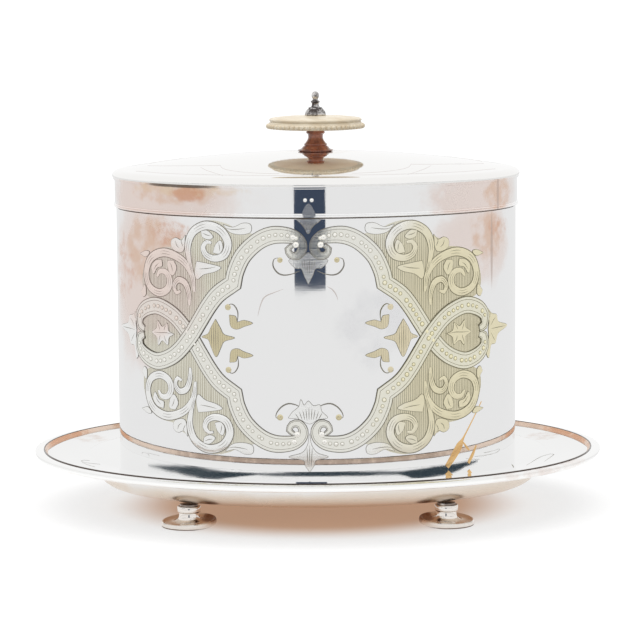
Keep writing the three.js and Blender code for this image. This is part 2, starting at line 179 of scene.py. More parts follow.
floor_in_metal = combine(floor_tree, "MULTIPLY_ADD", floor_painted_glow, metal_glow_near, metal_glow)
floor_strength = combine(floor_tree, "MULTIPLY_ADD", floor_rays["Is Glossy Ray"], floor_in_metal,
                         floor_straight)
floor_shade = add_node(floor_tree, "BsdfDiffuse", color=floor_tint)
floor_glow = add_node(floor_tree, "Emission", color=floor_warmth, strength=floor_strength)
floor_sum = add_node(floor_tree, "AddShader", floor_shade.outputs[0], floor_glow.outputs[0])
add_node(floor_tree, "OutputMaterial", floor_sum.outputs[0])
floor_form = bmesh.new()
bmesh.ops.create_grid(floor_form, x_segments=1, y_segments=1, size=floor_half)
new_object("studio_floor", floor_form, floor_paper)


def gap_wall(name, shade_name, colour, distance, outline):
    """A dark upright band at a distance round the box, from (azimuth, low, high) entries."""
    shade, tree = new_material(shade_name)
    add_node(tree, "OutputMaterial", add_node(tree, "Emission", color=colour, strength=1.0).outputs[0])
    band = bmesh.new()
    rows = []
    for azimuth, low, high in outline:
        turn = math.radians(azimuth)
        across, deep = distance * math.sin(turn), -distance * math.cos(turn)
        rows.append((band.verts.new((across, deep, low)), band.verts.new((across, deep, high))))
    for (low_a, high_a), (low_b, high_b) in zip(rows, rows[1:]):
        band.faces.new((low_a, low_b, high_b, high_a))
    card = new_object(name, band, shade)
    card.visible_camera = False
    card.visible_diffuse = False
    card.visible_shadow = False


# One gap stands in front of the box, and a long one bends round it at the height of the camera.
gap_wall("front_gap", "dark_gap", srgb(62, 72, 90), 1.06, [(-9.6, 0.001, 0.16), (4.1, 0.001, 0.16)])
gap_wall("room_gap", "dark_room", srgb(56, 68, 76), 1.4, [
    (-100.5, 0.259, 0.261), (-88.1, 0.251, 0.264), (-74.6, 0.241, 0.273), (-62.3, 0.231, 0.287),
    (-56.3, 0.234, 0.296), (-48.4, 0.241, 0.296), (-43.2, 0.245, 0.286), (-36.0, 0.244, 0.273),
    (-27.6, 0.245, 0.258), (-12.3, 0.232, 0.261), (-0.3, 0.224, 0.261), (12.2, 0.226, 0.262),
    (28.4, 0.237, 0.264), (37.4, 0.245, 0.268), (41.0, 0.245, 0.279), (44.7, 0.243, 0.295),
    (49.4, 0.241, 0.303), (58.0, 0.237, 0.292), (67.9, 0.237, 0.284), (79.2, 0.237, 0.259),
    (90.8, 0.241, 0.245),
])

sun_data = bpy.data.lights.new("soft_sun", "SUN")
sun_data.angle = math.radians(75)
sun_data.energy = 1.8
sun = bpy.data.objects.new("soft_sun", sun_data)
sun.rotation_euler = (math.radians(8), math.radians(-6), 0)
sun.visible_glossy = False
bpy.context.scene.collection.objects.link(sun)


# The silver
# Every metal piece is silver plate on nickel silver: bright, with faint scratches and slight dents, and
# stained where the plate has tarnished. Some of the stains are painted shade or painted reflections instead,
# as marked where they are set. Stains and scratches are shared by all of its materials.


def noise_mask(tree, position, size, low, high, stretch=(1, 1, 1), detail=4.0):
    """A patchy mask from 0 to 1. Size is that of a patch, and low and high are where it starts and fills."""
    scale = tuple(part / size for part in stretch)
    place = add_node(tree, "Mapping", position, scale=scale).outputs[0]
    speckle = add_node(tree, "TexNoise", place, scale=1.0, detail=detail, roughness=0.55)
    return fade(tree, speckle.outputs[0], low, high)


def new_group(name, entries):
    """A shared group of nodes, with its ends from (name, way, type, default) entries."""
    group = bpy.data.node_groups.new(name, "ShaderNodeTree")
    for label, way, kind, default in entries:
        socket = group.interface.new_socket(name=label, in_out=way, socket_type="NodeSocket" + kind)
        if default is not None:
            socket.default_value = default
    return group, group.nodes.new("NodeGroupInput").outputs, group.nodes.new("NodeGroupOutput").inputs


# A stain lies within a soft box of the piece. Most stains are tarnish, and some are painted shade or painted
# reflections. Noise breaks it up, so that no straight border shows, and the colour under it goes in and
# comes out.
stain, given, result = new_group("stain", [
    ("Color", "INPUT", "Color", (1, 1, 1, 1)),
    ("Stain", "INPUT", "Color", (1, 1, 1, 1)),
    ("Position", "INPUT", "Vector", None),
    ("Centre", "INPUT", "Vector", (0, 0, 0)),
    ("Half Size", "INPUT", "Vector", (1, 1, 1)),
    ("Amount", "INPUT", "Float", 1.0),
    ("Patch Size", "INPUT", "Float", 0.02),
    ("Cover", "INPUT", "Float", 0.5),
    ("Color", "OUTPUT", "Color", None),
    ("Mask", "OUTPUT", "Float", None),
])
away = add_node(stain, "VectorMath", given["Position"], given["Centre"], operation="SUBTRACT").outputs[0]
share = add_node(stain, "VectorMath", away, given["Half Size"], operation="DIVIDE").outputs[0]
length = add_node(stain, "VectorMath", share, operation="LENGTH").outputs["Value"]
inner = fade(stain, length, 1.15, 0.45)
finer = combine(stain, "DIVIDE", 1.0, given["Patch Size"])
patch = add_node(stain, "VectorMath", given["Position"], operation="SCALE", scale=finer).outputs[0]
speckle = add_node(stain, "TexNoise", patch, scale=1.0, detail=5.0, roughness=0.6).outputs[0]
reach = combine(stain, "MULTIPLY_ADD", inner, 0.5, speckle)
threshold = combine(stain, "SUBTRACT", 1.25, combine(stain, "MULTIPLY", given["Cover"], 0.5))
mask = fade(stain, combine(stain, "SUBTRACT", reach, threshold), -0.22, 0.12)
amount = combine(stain, "MULTIPLY", combine(stain, "MULTIPLY", mask, inner), given["Amount"])
stain.links.new(blend(stain, amount, given["Color"], given["Stain"]), result["Color"])
stain.links.new(amount, result["Mask"])

# Hair-fine scratches and slight dents, as a height for a bump, in the piece's own frame.
scratches, given, result = new_group("scratches", [
    ("Position", "INPUT", "Vector", None),
    ("Scratches", "INPUT", "Float", 1.0),
    ("Dents", "INPUT", "Float", 1.0),
    ("Height", "OUTPUT", "Float", None),
])
hairs = noise_mask(scratches, given["Position"], 0.004, 0.35, 0.7, (0.3, 0.3, 9), 3.0)
cross = noise_mask(scratches, given["Position"], 0.003, 0.45, 0.75, (7, 7, 0.4), 2.0)
dents = noise_mask(scratches, given["Position"], 0.03, 0.2, 0.8, detail=1.0)
fine = combine(scratches, "MULTIPLY_ADD", hairs, 0.25, combine(scratches, "MULTIPLY", cross, 0.25))
fine = combine(scratches, "MULTIPLY", fine, given["Scratches"])
scratches.links.new(combine(scratches, "MULTIPLY_ADD", dents, given["Dents"], fine), result["Height"])


def silver(name, clean, stains_and_shade=(), roughness=0.04, scratch=0.12, dent=0.4):
    """Polished plate of one clean colour. A stain, tarnish or painted shade, is (colour, centre, half size,
    amount, patch, cover).
    """
    material, tree = new_material(name)
    place = add_node(tree, "TexCoord").outputs["Object"]
    colour = clean
    dull = None
    for patch_colour, centre, half_size, amount, patch_size, cover in stains_and_shade:
        laid = add_node(tree, "Group", node_tree=stain, color=colour, stain=patch_colour, position=place,
                        centre=tuple(part * mm for part in centre), amount=amount,
                        half_size=tuple(part * mm for part in half_size), patch_size=patch_size * mm,
                        cover=cover).outputs
        colour = laid["Color"]
        dull = laid["Mask"] if dull is None else combine(tree, "MAXIMUM", dull, laid["Mask"])
    rough = combine(tree, "MULTIPLY_ADD", noise_mask(tree, place, 0.018, 0.35, 0.75), 0.02, roughness)
    if dull is not None:
        rough = combine(tree, "MULTIPLY_ADD", dull, 0.3, rough)
    marks = add_node(tree, "Group", node_tree=scratches, position=place, scratches=scratch, dents=dent)
    bump = add_node(tree, "Bump", strength=0.06, distance=0.0006, height=marks.outputs[0])
    shader = add_node(tree, "BsdfPrincipled", metallic=1.0, base_color=colour, roughness=rough,
                      normal=bump.outputs[0])
    add_node(tree, "OutputMaterial", shader.outputs[0])
    return material


# The tray
# A pressed oval plate: a flat polished border, and a well that hangs under the box. An applied moulding
# with a rounded crown and two small steps is soldered round its edge.

oval_steps = 256


def oval_form(stations, closed=True):
    """A bmesh ring or disc with an oval plan. Each station is its half width, half depth, height at the
    sides and height at the front and back. An open section starts and ends on the axis."""
    form = bmesh.new()
    line = [form.verts.new((station[0], 0, i)) for i, station in enumerate(stations)]
    pairs = list(zip(line, line[1:])) + ([(line[-1], line[0])] if closed else [])
    edges = [form.edges.new(pair) for pair in pairs]
    bmesh.ops.spin(form, geom=line + edges, cent=(0, 0, 0), axis=(0, 0, 1), angle=2 * math.pi,
                   steps=oval_steps, use_merge=True)
    for corner in form.verts:
        width, depth, side, front = stations[round(corner.co.z)]
        turn = math.atan2(corner.co.y, corner.co.x)
        height = side * math.cos(turn) ** 2 + front * math.sin(turn) ** 2
        corner.co = (width * math.cos(turn), depth * math.sin(turn), height)
    bmesh.ops.remove_doubles(form, verts=form.verts, dist=0.01 * mm)
    bmesh.ops.recalc_face_normals(form, faces=form.faces)
    return form


def finish_piece(name, form, material, body, node=None, crease=math.radians(35)):
    """Makes a bmesh an object that rides on a body, smooth but for its creases."""
    piece = new_object(name, form, material)
    piece.data.shade_smooth()
    piece.data.set_sharp_from_angle(angle=crease)
    if node:
        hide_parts(node)
    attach(piece, body)
    return piece


def half_sizes(node):
    """A node's half width and half depth as a pair, and its lowest and highest height."""
    low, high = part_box(node)
    return (high.x, high.y), low.z, high.z


def level(half, inset, height):
    """A station at one height all round, at an inset from a half width and half depth."""
    return (half[0] - inset, half[1] - inset, height, height)


def between(inner, outer, share):
    """The half width and half depth at a share of the way from one oval to another."""
    return tuple(start + (end - start) * share for start, end in zip(inner, outer))


plate_half, tray_bottom, border_top = half_sizes("tray_plate")
rim_half, rim_bottom, rim_top = half_sizes("tray_rim")
wall_half, wall_bottom, wall_top = half_sizes("body_wall")

centre = (0, 0)
plate_thick = 1.2 * mm
well_lip = 2.4 * mm
well_start = (wall_half[0] + 12 * mm, wall_half[1] + 9 * mm)
well_flat = (wall_half[0] - 1 * mm, wall_half[1] - 11 * mm)
well_dish = tuple(part * 0.86 for part in well_flat)
shoulder_inset = 3 * mm
border_under = border_top - plate_thick
border_fall = 0.4 * mm
border_turn = 0.44
rim_crown_width = 4.1 * mm
rim_full_width = 6.2 * mm
border_end = level(rim_half, rim_full_width, border_top)[:2]


def border_rise(share):
    """The border's height at a share of its width from the wall out: a slight fall, then a curve up."""
    if share <= border_turn:
        return -border_fall * share ** 2
    beyond = share - border_turn
    return -border_fall * border_turn ** 2 + (0.03 + 1.0 * beyond + 1.9 * beyond ** 2) * mm


def tray_stations():
    under = [(-1, 0), (0, 0), (0.1, 0.006), (0.22, 0.022), (0.4, 0.07), (0.57, 0.145), (0.7, 0.23),
             (0.81, 0.345), (0.9, 0.5), (0.96, 0.68), (1, 0.86), (1.1, 0.955)]
    border = (1, 0.92, 0.84, 0.76, 0.68, 0.6, 0.52, border_turn + 1e-6, border_turn, 0.36, 0.27, 0.18,
              0.09, 0)
    return (
        [level(centre, 0, tray_bottom)]
        + [level(between(well_flat, well_start, out), 0, tray_bottom + (border_under - tray_bottom) * up)
           for out, up in under]
        + [level(well_start, -well_lip, border_under)]
        + [level(plate_half, 0, border_under), level(plate_half, 0, border_top)]
        + [level(between(wall_half, border_end, share), 0, border_top + border_rise(share))
           for share in border]
        + [level(wall_half, shoulder_inset, border_top)]
        + [level(half, 0, tray_bottom + plate_thick) for half in (well_dish, centre)]
    )


warm_brown = srgb(186, 146, 116)
# The first stain, a warm tan over the whole well and underside, is a painted reflection of the shadowed
# floor below. The two brown patches at the ends are tarnish.
tray_silver = silver(
    "tray_silver", srgb(232, 232, 231),
    stains_and_shade=[(srgb(224, 207, 188), (0, 0, 14.5), (160, 130, 10.5), 1.0, 60, 1.0)]
    + [(warm_brown, (across, 34, 26.5), (14, 16, 3), 0.4, 6, 0.4) for across in (112, -112)],
    roughness=0.025, scratch=0.03, dent=0.15,
)
finish_piece("tray", oval_form(tray_stations(), closed=False), tray_silver, "box_and_stand",
             "tray_plate")

rim_crown_turns = 14
rim_widest_share = 0.84
groove_width = 0.7 * mm


def moulding_stations():
    widest = rim_bottom + (rim_top - rim_bottom) * rim_widest_share
    edge_inset = rim_half[0] - plate_half[0] - 0.3 * mm
    stations = []
    for i in range(rim_crown_turns + 1):
        turn = math.pi * (i / rim_crown_turns - 0.5)
        width = edge_inset if turn < 0 else rim_crown_width
        height = widest - rim_bottom if turn < 0 else rim_top - widest
        stations.append(level(rim_half, width - width * math.cos(turn), widest + height * math.sin(turn)))
    steps = [(0.02, 0.98), (0.05, 1.17), (0.24, 1.17), (0.3, 1.05), (0.42, 0.92), (0.5, 0.86), (0.58, 0.7),
             (0.72, 0.58), (0.88, 0.5), (1, 0.42), (1, -0.1)]
    for out, up in steps:
        inset = rim_crown_width + (rim_full_width - rim_crown_width) * out
        stations.append(level(rim_half, inset, border_top + (rim_top - border_top) * up))
    return stations + [level(rim_half, edge_inset, border_top)]


rim_silver = silver(
    "rim_silver", srgb(243, 243, 242),
    stains_and_shade=[
        (srgb(236, 222, 208), (0, 0, 25.6), (170, 140, 1.6), 0.8, 20, 0.8),
        (srgb(224, 206, 196), (96, -60, 28), (50, 50, 4), 0.5, 9, 0.4),
        (srgb(206, 172, 144), (0, 80, 28), (160, 60, 6), 0.9, 12, 0.7),
        (srgb(186, 150, 124), (110, -48, 28), (9, 8, 5), 0.9, 4, 0.8),
    ],
    roughness=0.08,
)
step_silver = silver(
    "step_silver", srgb(228, 208, 192),
    stains_and_shade=[(srgb(206, 166, 134), (0, 80, 28), (160, 70, 6), 0.8, 12, 0.8)]
    + [(srgb(222, 164, 122), (across, 20, 28), (20, 50, 5), 0.7, 8, 0.7) for across in (118, -118)]
    + [(srgb(190, 170, 156), (0, -80, 28), (160, 70, 6), 0.8, 7, 0.6)],
    roughness=0.3,
)
groove_silver = silver(
    "groove_silver", srgb(92, 82, 76),
    stains_and_shade=[(srgb(130, 96, 76), (0, 80, 29), (160, 70, 6), 0.8, 12, 0.8)],
    roughness=0.2,
)
moulding = finish_piece("tray_moulding", oval_form(moulding_stations()), rim_silver, "box_and_stand",
                        "tray_rim")
moulding.data.materials.append(step_silver)
moulding.data.materials.append(groove_silver)
rim_width, rim_depth = rim_half
for face in moulding.data.polygons:
    turn = math.atan2(face.center.y / rim_depth, face.center.x / rim_width)
    across = rim_width - math.hypot(face.center.x, face.center.y * rim_width / rim_depth)
    inset = across / (math.cos(turn) ** 2 + math.sin(turn) ** 2 * rim_width / rim_depth)
    if face.center.z > border_top and inset > rim_crown_width:
        face.material_index = 2 if inset < rim_crown_width + groove_width else 1


# The wall
# One tall strip of plate bent to an oval and seamed at the back, let a hair into the tray's shoulder. A
# floor plate with a turned-up lip is fitted into its foot, and a bezel ring inside its top guides the lid.

wall_thick = 1.1 * mm
wall_sunk = 0.35 * mm
seam_gap = 0.2 * mm


def eased(stations, radius, steps=3):
    """The same section with every corner rounded, by about this radius in metres."""
    points = [Vector(station) for station in stations]
    rounded = []
    for before, corner, after in zip(points[-1:] + points[:-1], points, points[1:] + points[:1]):
        back, on = before - corner, after - corner
        start = corner + back * min(0.3, radius / max(back.length, radius))
        end = corner + on * min(0.3, radius / max(on.length, radius))
        rounded.append(start + (start - corner) * 0.6)
        for i in range(steps + 1):
            share = i / steps
            rounded.append(start * (1 - share) ** 2 + corner * 2 * share * (1 - share) + end * share ** 2)
        rounded.append(end + (end - corner) * 0.6)
    return [tuple(point) for point in rounded]


def ring_stations(half, bottom, top, thick, ease):
    return eased([level(half, thick, bottom), level(half, 0, bottom), level(half, 0, top),
                  level(half, thick, top)], ease)


pink = srgb(236, 219, 211)
orange = srgb(224, 190, 166)
rust = srgb(216, 164, 134)
streak = srgb(190, 170, 160)
wall_silver = silver(
    "wall_silver", srgb(247, 247, 247),
    stains_and_shade=[
        (pink, (-79, -41, 113), (35, 46, 51), 0.85, 20, 0.95),
        (orange, (-76, -44, 127), (26, 34, 26), 0.75, 9, 0.5),
        (rust, (-66, -52, 136), (22, 24, 9), 0.6, 4, 0.35),
        (rust, (-90, -24, 118), (14, 22, 26), 0.5, 5, 0.3),
        (pink, (74, -45, 130), (34, 40, 24), 0.75, 14, 0.8),
        (orange, (80, -40, 134), (18, 20, 16), 0.7, 6, 0.5),
        (rust, (84, -34, 137), (12, 16, 8), 0.6, 4, 0.35),
        (srgb(232, 232, 234), (26, -70, 95), (26, 14, 26), 0.6, 14, 0.5),
        (streak, (81.5, -38, 128), (0.8, 7, 22), 0.6, 30, 1.0),
        (pink, (0, 74, 100), (110, 40, 60), 0.5, 30, 0.5),
    ],
    roughness=0.025, scratch=0.03, dent=0.2,
)
wall_section = ring_stations(wall_half, wall_bottom - wall_sunk, wall_top - seam_gap, wall_thick, 0.25 * mm)
finish_piece("wall", oval_form(wall_section), wall_silver, "box_and_stand", "body_wall")

inner_silver = silver("inner_silver", srgb(225, 221, 212), roughness=0.16)


def floor_stations():
    half, bottom, top = half_sizes("body_floor")
    lip = 1 * mm
    plate_top = bottom + 1.2 * mm
    return [level(centre, 0, bottom), level(half, 0, bottom), level(half, 0, top), level(half, lip, top),
            level(half, lip, plate_top + lip), level(half, 2 * lip, plate_top), level(centre, 0, plate_top)]


finish_piece("floor_plate", oval_form(floor_stations(), closed=False), inner_silver, "box_and_stand",
             "body_floor")
# The bezel's dark colour is painted shade, so that the seam between the wall and the lid reads as a dark
# gap. Its stain lightens it at the right front.
bezel_silver = silver("bezel_silver", srgb(112, 102, 95), roughness=0.25,
                      stains_and_shade=[(srgb(176, 170, 164), (72, -40, 144), (50, 60, 14), 1.0, 30, 1.0)])
finish_piece("bezel", oval_form(ring_stations(*half_sizes("body_bezel"), 1 * mm, 0.4 * mm)), bezel_silver,
             "box_and_stand", "body_bezel")


# The lid
# A reeded bead, an upright band and a narrow fillet are soldered under a shallow domed cover, whose edge
# is rolled.


def bead_stations():
    half, bottom, top = half_sizes("lid_bead")
    thick = 2 * mm
    reed = 0.3 * mm
    reed_count, reed_turns = 2, 6
    bottom += 0.1 * mm
    stations = [level(half, thick, bottom)]
    for reed_index in range(reed_count):
        for i in range(reed_turns + 1):
            share = (reed_index + i / reed_turns) / reed_count
            sunk = reed * (1 - math.sin(math.pi * i / reed_turns))
            stations.append(level(half, sunk, bottom + (top - bottom) * share))
    return stations + [level(half, thick, top)]


lid_silver = silver(
    "lid_silver", srgb(246, 246, 246),
    stains_and_shade=[
        (pink, (-72, -44, 152), (60, 50, 18), 0.9, 18, 0.95),
        (orange, (-66, -52, 155), (44, 40, 8), 0.6, 6, 0.45),
        (srgb(230, 204, 166), (-60, -56, 157), (50, 40, 5), 0.45, 5, 0.45),
        (rust, (-58, -60, 155), (12, 16, 5), 0.8, 4, 0.7),
        (srgb(84, 76, 70), (-62, -56, 158.6), (26, 24, 1.3), 0.85, 12, 0.9),
        (pink, (72, -45, 152), (44, 46, 16), 0.8, 14, 0.8),
        (orange, (84, -34, 152), (14, 20, 12), 0.7, 6, 0.55),
        (streak, (84.5, -36, 152), (0.8, 7, 14), 0.6, 30, 1.0),
        (pink, (0, 74, 152), (100, 30, 20), 0.5, 30, 0.5),
    ],
    roughness=0.03, scratch=0.05, dent=0.3,
)
for name, section, node in (
    ("lid_reeds", bead_stations(), "lid_bead"),
    ("lid_side", ring_stations(*half_sizes("lid_band"), 1.1 * mm, 0.1 * mm), "lid_band"),
    ("lid_edge_fillet", ring_stations(*half_sizes("lid_fillet"), 2.6 * mm, 0.3 * mm), "lid_fillet"),
):
    finish_piece(name, oval_form(section), lid_silver, "lid", node)

cover_half, cover_bottom, crown_top = half_sizes("lid_cover")
cover_edge_top = cover_bottom + 0.85 * mm
cover_thick = 1 * mm
crown_radii = (549 * mm, 350 * mm)
crown_edge_share = 0.94
seat_radius = 9 * mm
stud_bore = 1.8 * mm


def crown_station(share, drop=0.0):
    reach = [half * share for half in cover_half]
    heights = [crown_top - part ** 2 / (2 * radius) - drop for part, radius in zip(reach, crown_radii)]
    return (*reach, *heights)


def cover_stations():
    crown_shares = [0.14, 0.2, 0.28, 0.36, 0.44, 0.52, 0.6, 0.67, 0.74, 0.81, 0.87, 0.91]
    edge = Vector(crown_station(crown_edge_share))
    rim = Vector((*cover_half, cover_edge_top, cover_edge_top))
    # The roll leaves the crown along its slope and turns down to the rim.
    roll = []
    roll_steps = 8
    for i in range(roll_steps + 1):
        turn = math.pi / 2 * i / roll_steps
        out, down = math.sin(turn), 1 - math.cos(turn)
        roll.append(tuple(edge[k] + (rim[k] - edge[k]) * (out if k < 2 else down) for k in range(4)))
    foot = [level(cover_half, inset * mm, cover_bottom + up * mm)
            for inset, up in ((0, 0.3), (0.1, 0.1), (0.3, 0), (3.2, 0))]
    seat = [level((radius, radius), 0, crown_top) for radius in (stud_bore, seat_radius)]
    crown = [crown_station(share) for share in crown_shares]
    inside = [crown_station(share, cover_thick) for share in reversed(crown_shares[:-1])]
    under = [level((radius, radius), 0, crown_top - cover_thick) for radius in (seat_radius, stud_bore)]
    return seat + crown + roll + foot + inside + under


cover_silver = silver("cover_silver", srgb(243, 242, 240),
                      stains_and_shade=[(srgb(226, 214, 196), (0, 0, 169), (30, 26, 4), 0.35, 12, 0.5)])
finish_piece("lid_dome", oval_form(cover_stations()), cover_silver, "lid", "lid_cover",
             crease=math.radians(50))


# The finial
# A stud through the lid holds a turned rosewood stem, a stepped ivory disc with a row of beads cut round its
# edge, and a turned silver nut that ends in a small ball.


def turned_form(turned, base, rise=mm, steps=96):
    """A bmesh turned about the vertical axis from radii in millimetres against heights as shares of the
    rise. An outline that stays off the axis keeps its bore."""
    form = bmesh.new()
    line = [form.verts.new((radius * mm, 0, base + up * rise)) for radius, up in turned]
    pairs = list(zip(line, line[1:])) + ([(line[-1], line[0])] if turned[0][0] else [])
    edges = [form.edges.new(pair) for pair in pairs]
    bmesh.ops.spin(form, geom=line + edges, cent=(0, 0, 0), axis=(0, 0, 1), angle=2 * math.pi, steps=steps,
                   use_merge=True)
    bmesh.ops.remove_doubles(form, verts=form.verts, dist=0.002 * mm)
    bmesh.ops.recalc_face_normals(form, faces=form.faces)
    return form


def turned_material(name, colour, dark, roughness, grain_size, stretch, coat=0.0):
    """A turned and polished material of two tones, with a grain that runs as the stretch says."""
    material, tree = new_material(name)
    place = add_node(tree, "TexCoord").outputs["Object"]
    grain = noise_mask(tree, place, grain_size, 0.3, 0.7, stretch, 6.0)
    bump = add_node(tree, "Bump", strength=0.15, distance=0.0003, height=grain)
    shader = add_node(tree, "BsdfPrincipled", coat_weight=coat, coat_roughness=0.12,
                      base_color=blend(tree, grain, colour, dark), normal=bump.outputs[0],
                      roughness=combine(tree, "MULTIPLY_ADD", grain, 0.12, roughness))
    add_node(tree, "OutputMaterial", shader.outputs[0])
    return material


rosewood = turned_material("rosewood", srgb(194, 122, 92), srgb(118, 68, 53), 0.22, 0.004,
                           (1.4, 1.4, 0.3), 0.6)
ivory = turned_material("ivory", srgb(240, 228, 204), srgb(222, 204, 174), 0.38, 0.01, (1, 1, 3), 0.15)
# A lighter ivory paints light onto the shaded underside of the disc.
painted_light_ivory = turned_material("painted_light_ivory", srgb(255, 236, 208), srgb(248, 226, 196), 0.38, 0.01, (1, 1, 3))

stem_low, stem_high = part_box("finial_stem")
disc_low, disc_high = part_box("finial_disc")
nut_low, nut_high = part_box("finial_nut")

stem_outline = [
    (1.8, 0), (7.4, 0), (8.3, 0.03), (8.3, 0.075), (7.5, 0.1), (6.9, 0.115), (6.4, 0.16), (6.2, 0.2),
    (5.2, 0.26), (5.5, 0.29), (5.5, 0.33), (4.9, 0.36), (4.5, 0.42), (3.9, 0.5), (3.5, 0.6), (3.5, 0.7),
    (3.7, 0.76), (4.4, 0.8), (4.4, 0.86), (4.1, 0.9), (4.1, 1.0), (1.8, 1.0),
]
finish_piece("finial_turned_stem", turned_form(stem_outline, stem_low.z, stem_high.z - stem_low.z), rosewood,
             "lid", "finial_stem")

disc_bead_count = 56
disc_bead_radius = 1.15 * mm
disc_bead_lift = 0.15 * mm
disc_underside = 0.05 * mm
disc_outline = [
    (1.8, 0), (20.6, 0), (21.6, 0.25), (22.4, 0.3), (22.5, 1.2), (22.6, 2.1), (22.2, 2.5), (21.9, 3.0),
    (21.5, 3.5), (21.5, 3.75), (21.9, 3.95), (21.9, 4.5), (21.5, 4.9), (20.6, 5.1), (16, 5.6), (10, 5.95),
    (5.6, 6.2), (1.8, 6.2),
]
disc_form = turned_form(disc_outline, disc_low.z, steps=disc_bead_count * 3)
for i in range(disc_bead_count):
    turn = 2 * math.pi * (i + 0.5) / disc_bead_count
    seat = disc_high.x - disc_bead_radius
    place = (seat * math.cos(turn), seat * math.sin(turn), disc_low.z + disc_bead_radius + disc_bead_lift)
    bmesh.ops.create_uvsphere(disc_form, u_segments=10, v_segments=7, radius=disc_bead_radius,
                              matrix=Matrix.Translation(place))
disc = finish_piece("finial_beaded_disc", disc_form, ivory, "lid", "finial_disc")
# The underside is a lighter ivory, painted light that brightens it where it is in shade.
disc.data.materials.append(painted_light_ivory)
for face in disc.data.polygons:
    if face.center.z < disc_low.z + disc_underside:
        face.material_index = 1

# The nut's dark patches are painted reflections of the dark surroundings it mirrors, with light patches left
# between them as highlights.
nut_silver = silver("nut_silver", srgb(222, 219, 217), roughness=0.06,
                    stains_and_shade=[(srgb(54, 45, 43), (0, 0, 189), (9, 9, 14), 0.95, 1.8, 0.54)])
nut_outline = [
    (0, 0.27), (1.8, 0.27), (1.8, 0), (4.8, 0), (5, 0.02), (4.95, 0.08), (4.6, 0.17), (3.9, 0.25),
    (3.3, 0.3), (3.3, 0.33), (2.4, 0.35), (1.8, 0.38), (1.62, 0.45), (1.66, 0.52), (2.1, 0.55),
    (2.1, 0.59), (1.6, 0.62), (1.25, 0.65), (1.2, 0.7), (1.5, 0.735), (1.75, 0.79), (1.8, 0.84),
    (1.7, 0.9), (1.35, 0.955), (0.75, 0.99), (0, 1),
]
finish_piece("finial_turned_nut", turned_form(nut_outline, nut_low.z, nut_high.z - nut_low.z), nut_silver,
             "lid", "finial_nut", crease=math.radians(50))


# The feet
# Four feet of worn plate, with painted shade inside the pads, round the tops of the necks and along the
# floor.
# Each is a dished round pad that leans outward, under a turned neck and collar that are soldered to the
# tray's well.

# The stains are painted shade: brown inside each pad on its inner side, a painted reflection of the shaded
# underside, a dark ring where each neck meets the well, and a dark band along the floor as a contact shadow.
foot_silver = silver(
    "foot_silver", srgb(232, 226, 220),
    stains_and_shade=[(srgb(140, 98, 72), (x, y, 3.4), (6.5, 12, 3), 0.95, 6, 0.85)
            for x in (-49.5, 49.5) for y in (-50, 50)]
    + [(srgb(96, 74, 60), (x, y, 10), (9, 9, 1.3), 0.8, 5, 0.8) for x in (-60, 60) for y in (-52, 52)]
    + [(srgb(96, 70, 54), (0, 0, 0), (300, 300, 0.75), 0.9, 4, 1.0)],
    roughness=0.08,
)
pad_tilt = math.radians(4)
pad_wear = 0.5 * mm
pad_lift = (12.3 * mm) * math.sin(pad_tilt) - pad_wear
neck_across, neck_deep = 59.7 * mm, 52.5 * mm
pad_outline = [(0, 0), (11.9, 0), (12.4, 0.08), (12.75, 0.4), (12.8, 0.9), (12.8, 1.6), (12.75, 2.3),
               (12.4, 2.72), (12.0, 2.72), (11.6, 2.4), (10.6, 2.05), (9.4, 1.9), (8, 1.95), (7, 2.15),
               (6.2, 2.5), (5.6, 2.95), (5.2, 3.3), (0, 3.3)]
neck_below = [(0, -1.1), (5.3, -1.1), (5.0, -0.3), (4.8, 0.4)]
neck_above = [(4.7, -4.0), (4.9, -3.8), (5.4, -3.5), (5.5, -3.1), (5.5, -1.3), (5.3, -0.9), (4.9, -0.8),
              (4.3, -0.7), (4.2, 0), (0, 0)]

for depth_name, y_sign in (("front", -1), ("back", 1)):
    for side_name, x_sign in (("left", -1), ("right", 1)):
        name = f"{depth_name}_{side_name}"
        foot_place = Matrix.Translation((x_sign * neck_across, y_sign * neck_deep, 0))
        foot_turn = Matrix.Rotation(math.atan2(y_sign * neck_deep, x_sign * neck_across), 4, "Z")
        lean = Matrix.Translation((0, 0, pad_lift)) @ Matrix.Rotation(pad_tilt, 4, "Y")
        pad = turned_form(pad_outline, 0)
        bmesh.ops.transform(pad, matrix=foot_place @ foot_turn @ lean, verts=pad.verts)
        # The floor has worn the pad flat where it leans.
        bmesh.ops.bisect_plane(pad, geom=pad.verts[:] + pad.edges[:] + pad.faces[:], plane_co=(0, 0, 0),
                               plane_no=(0, 0, -1), clear_outer=True)
        bmesh.ops.edgeloop_fill(pad, edges=[edge for edge in pad.edges if edge.is_boundary])
        bmesh.ops.recalc_face_normals(pad, faces=pad.faces)
        finish_piece(f"pad_{name}", pad, foot_silver, "box_and_stand", f"foot_pad_{name}")
        neck_low, neck_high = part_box(f"foot_neck_{name}")
        neck_height = (neck_high.z - neck_low.z) / mm
        neck_outline = neck_below + [(radius, neck_height + up) for radius, up in neck_above]
        neck = turned_form(neck_outline, neck_low.z, steps=48)
        bmesh.ops.transform(neck, matrix=foot_place, verts=neck.verts)
        finish_piece(f"neck_{name}", neck, foot_silver, "box_and_stand", f"foot_neck_{name}")


# The engraving
# Strapwork bands, scrolls and leaves, cut and chased by hand round the front of the wall on a hatched
# ground. The ornament stands a little left of the middle, as on the real box. Each kind of mark is drawn
# flat, in millimetres across and up, and then laid on the oval wall.

engraving_shift = -3.45
engraving_drop = -0.4
engraving_middle = 89.8


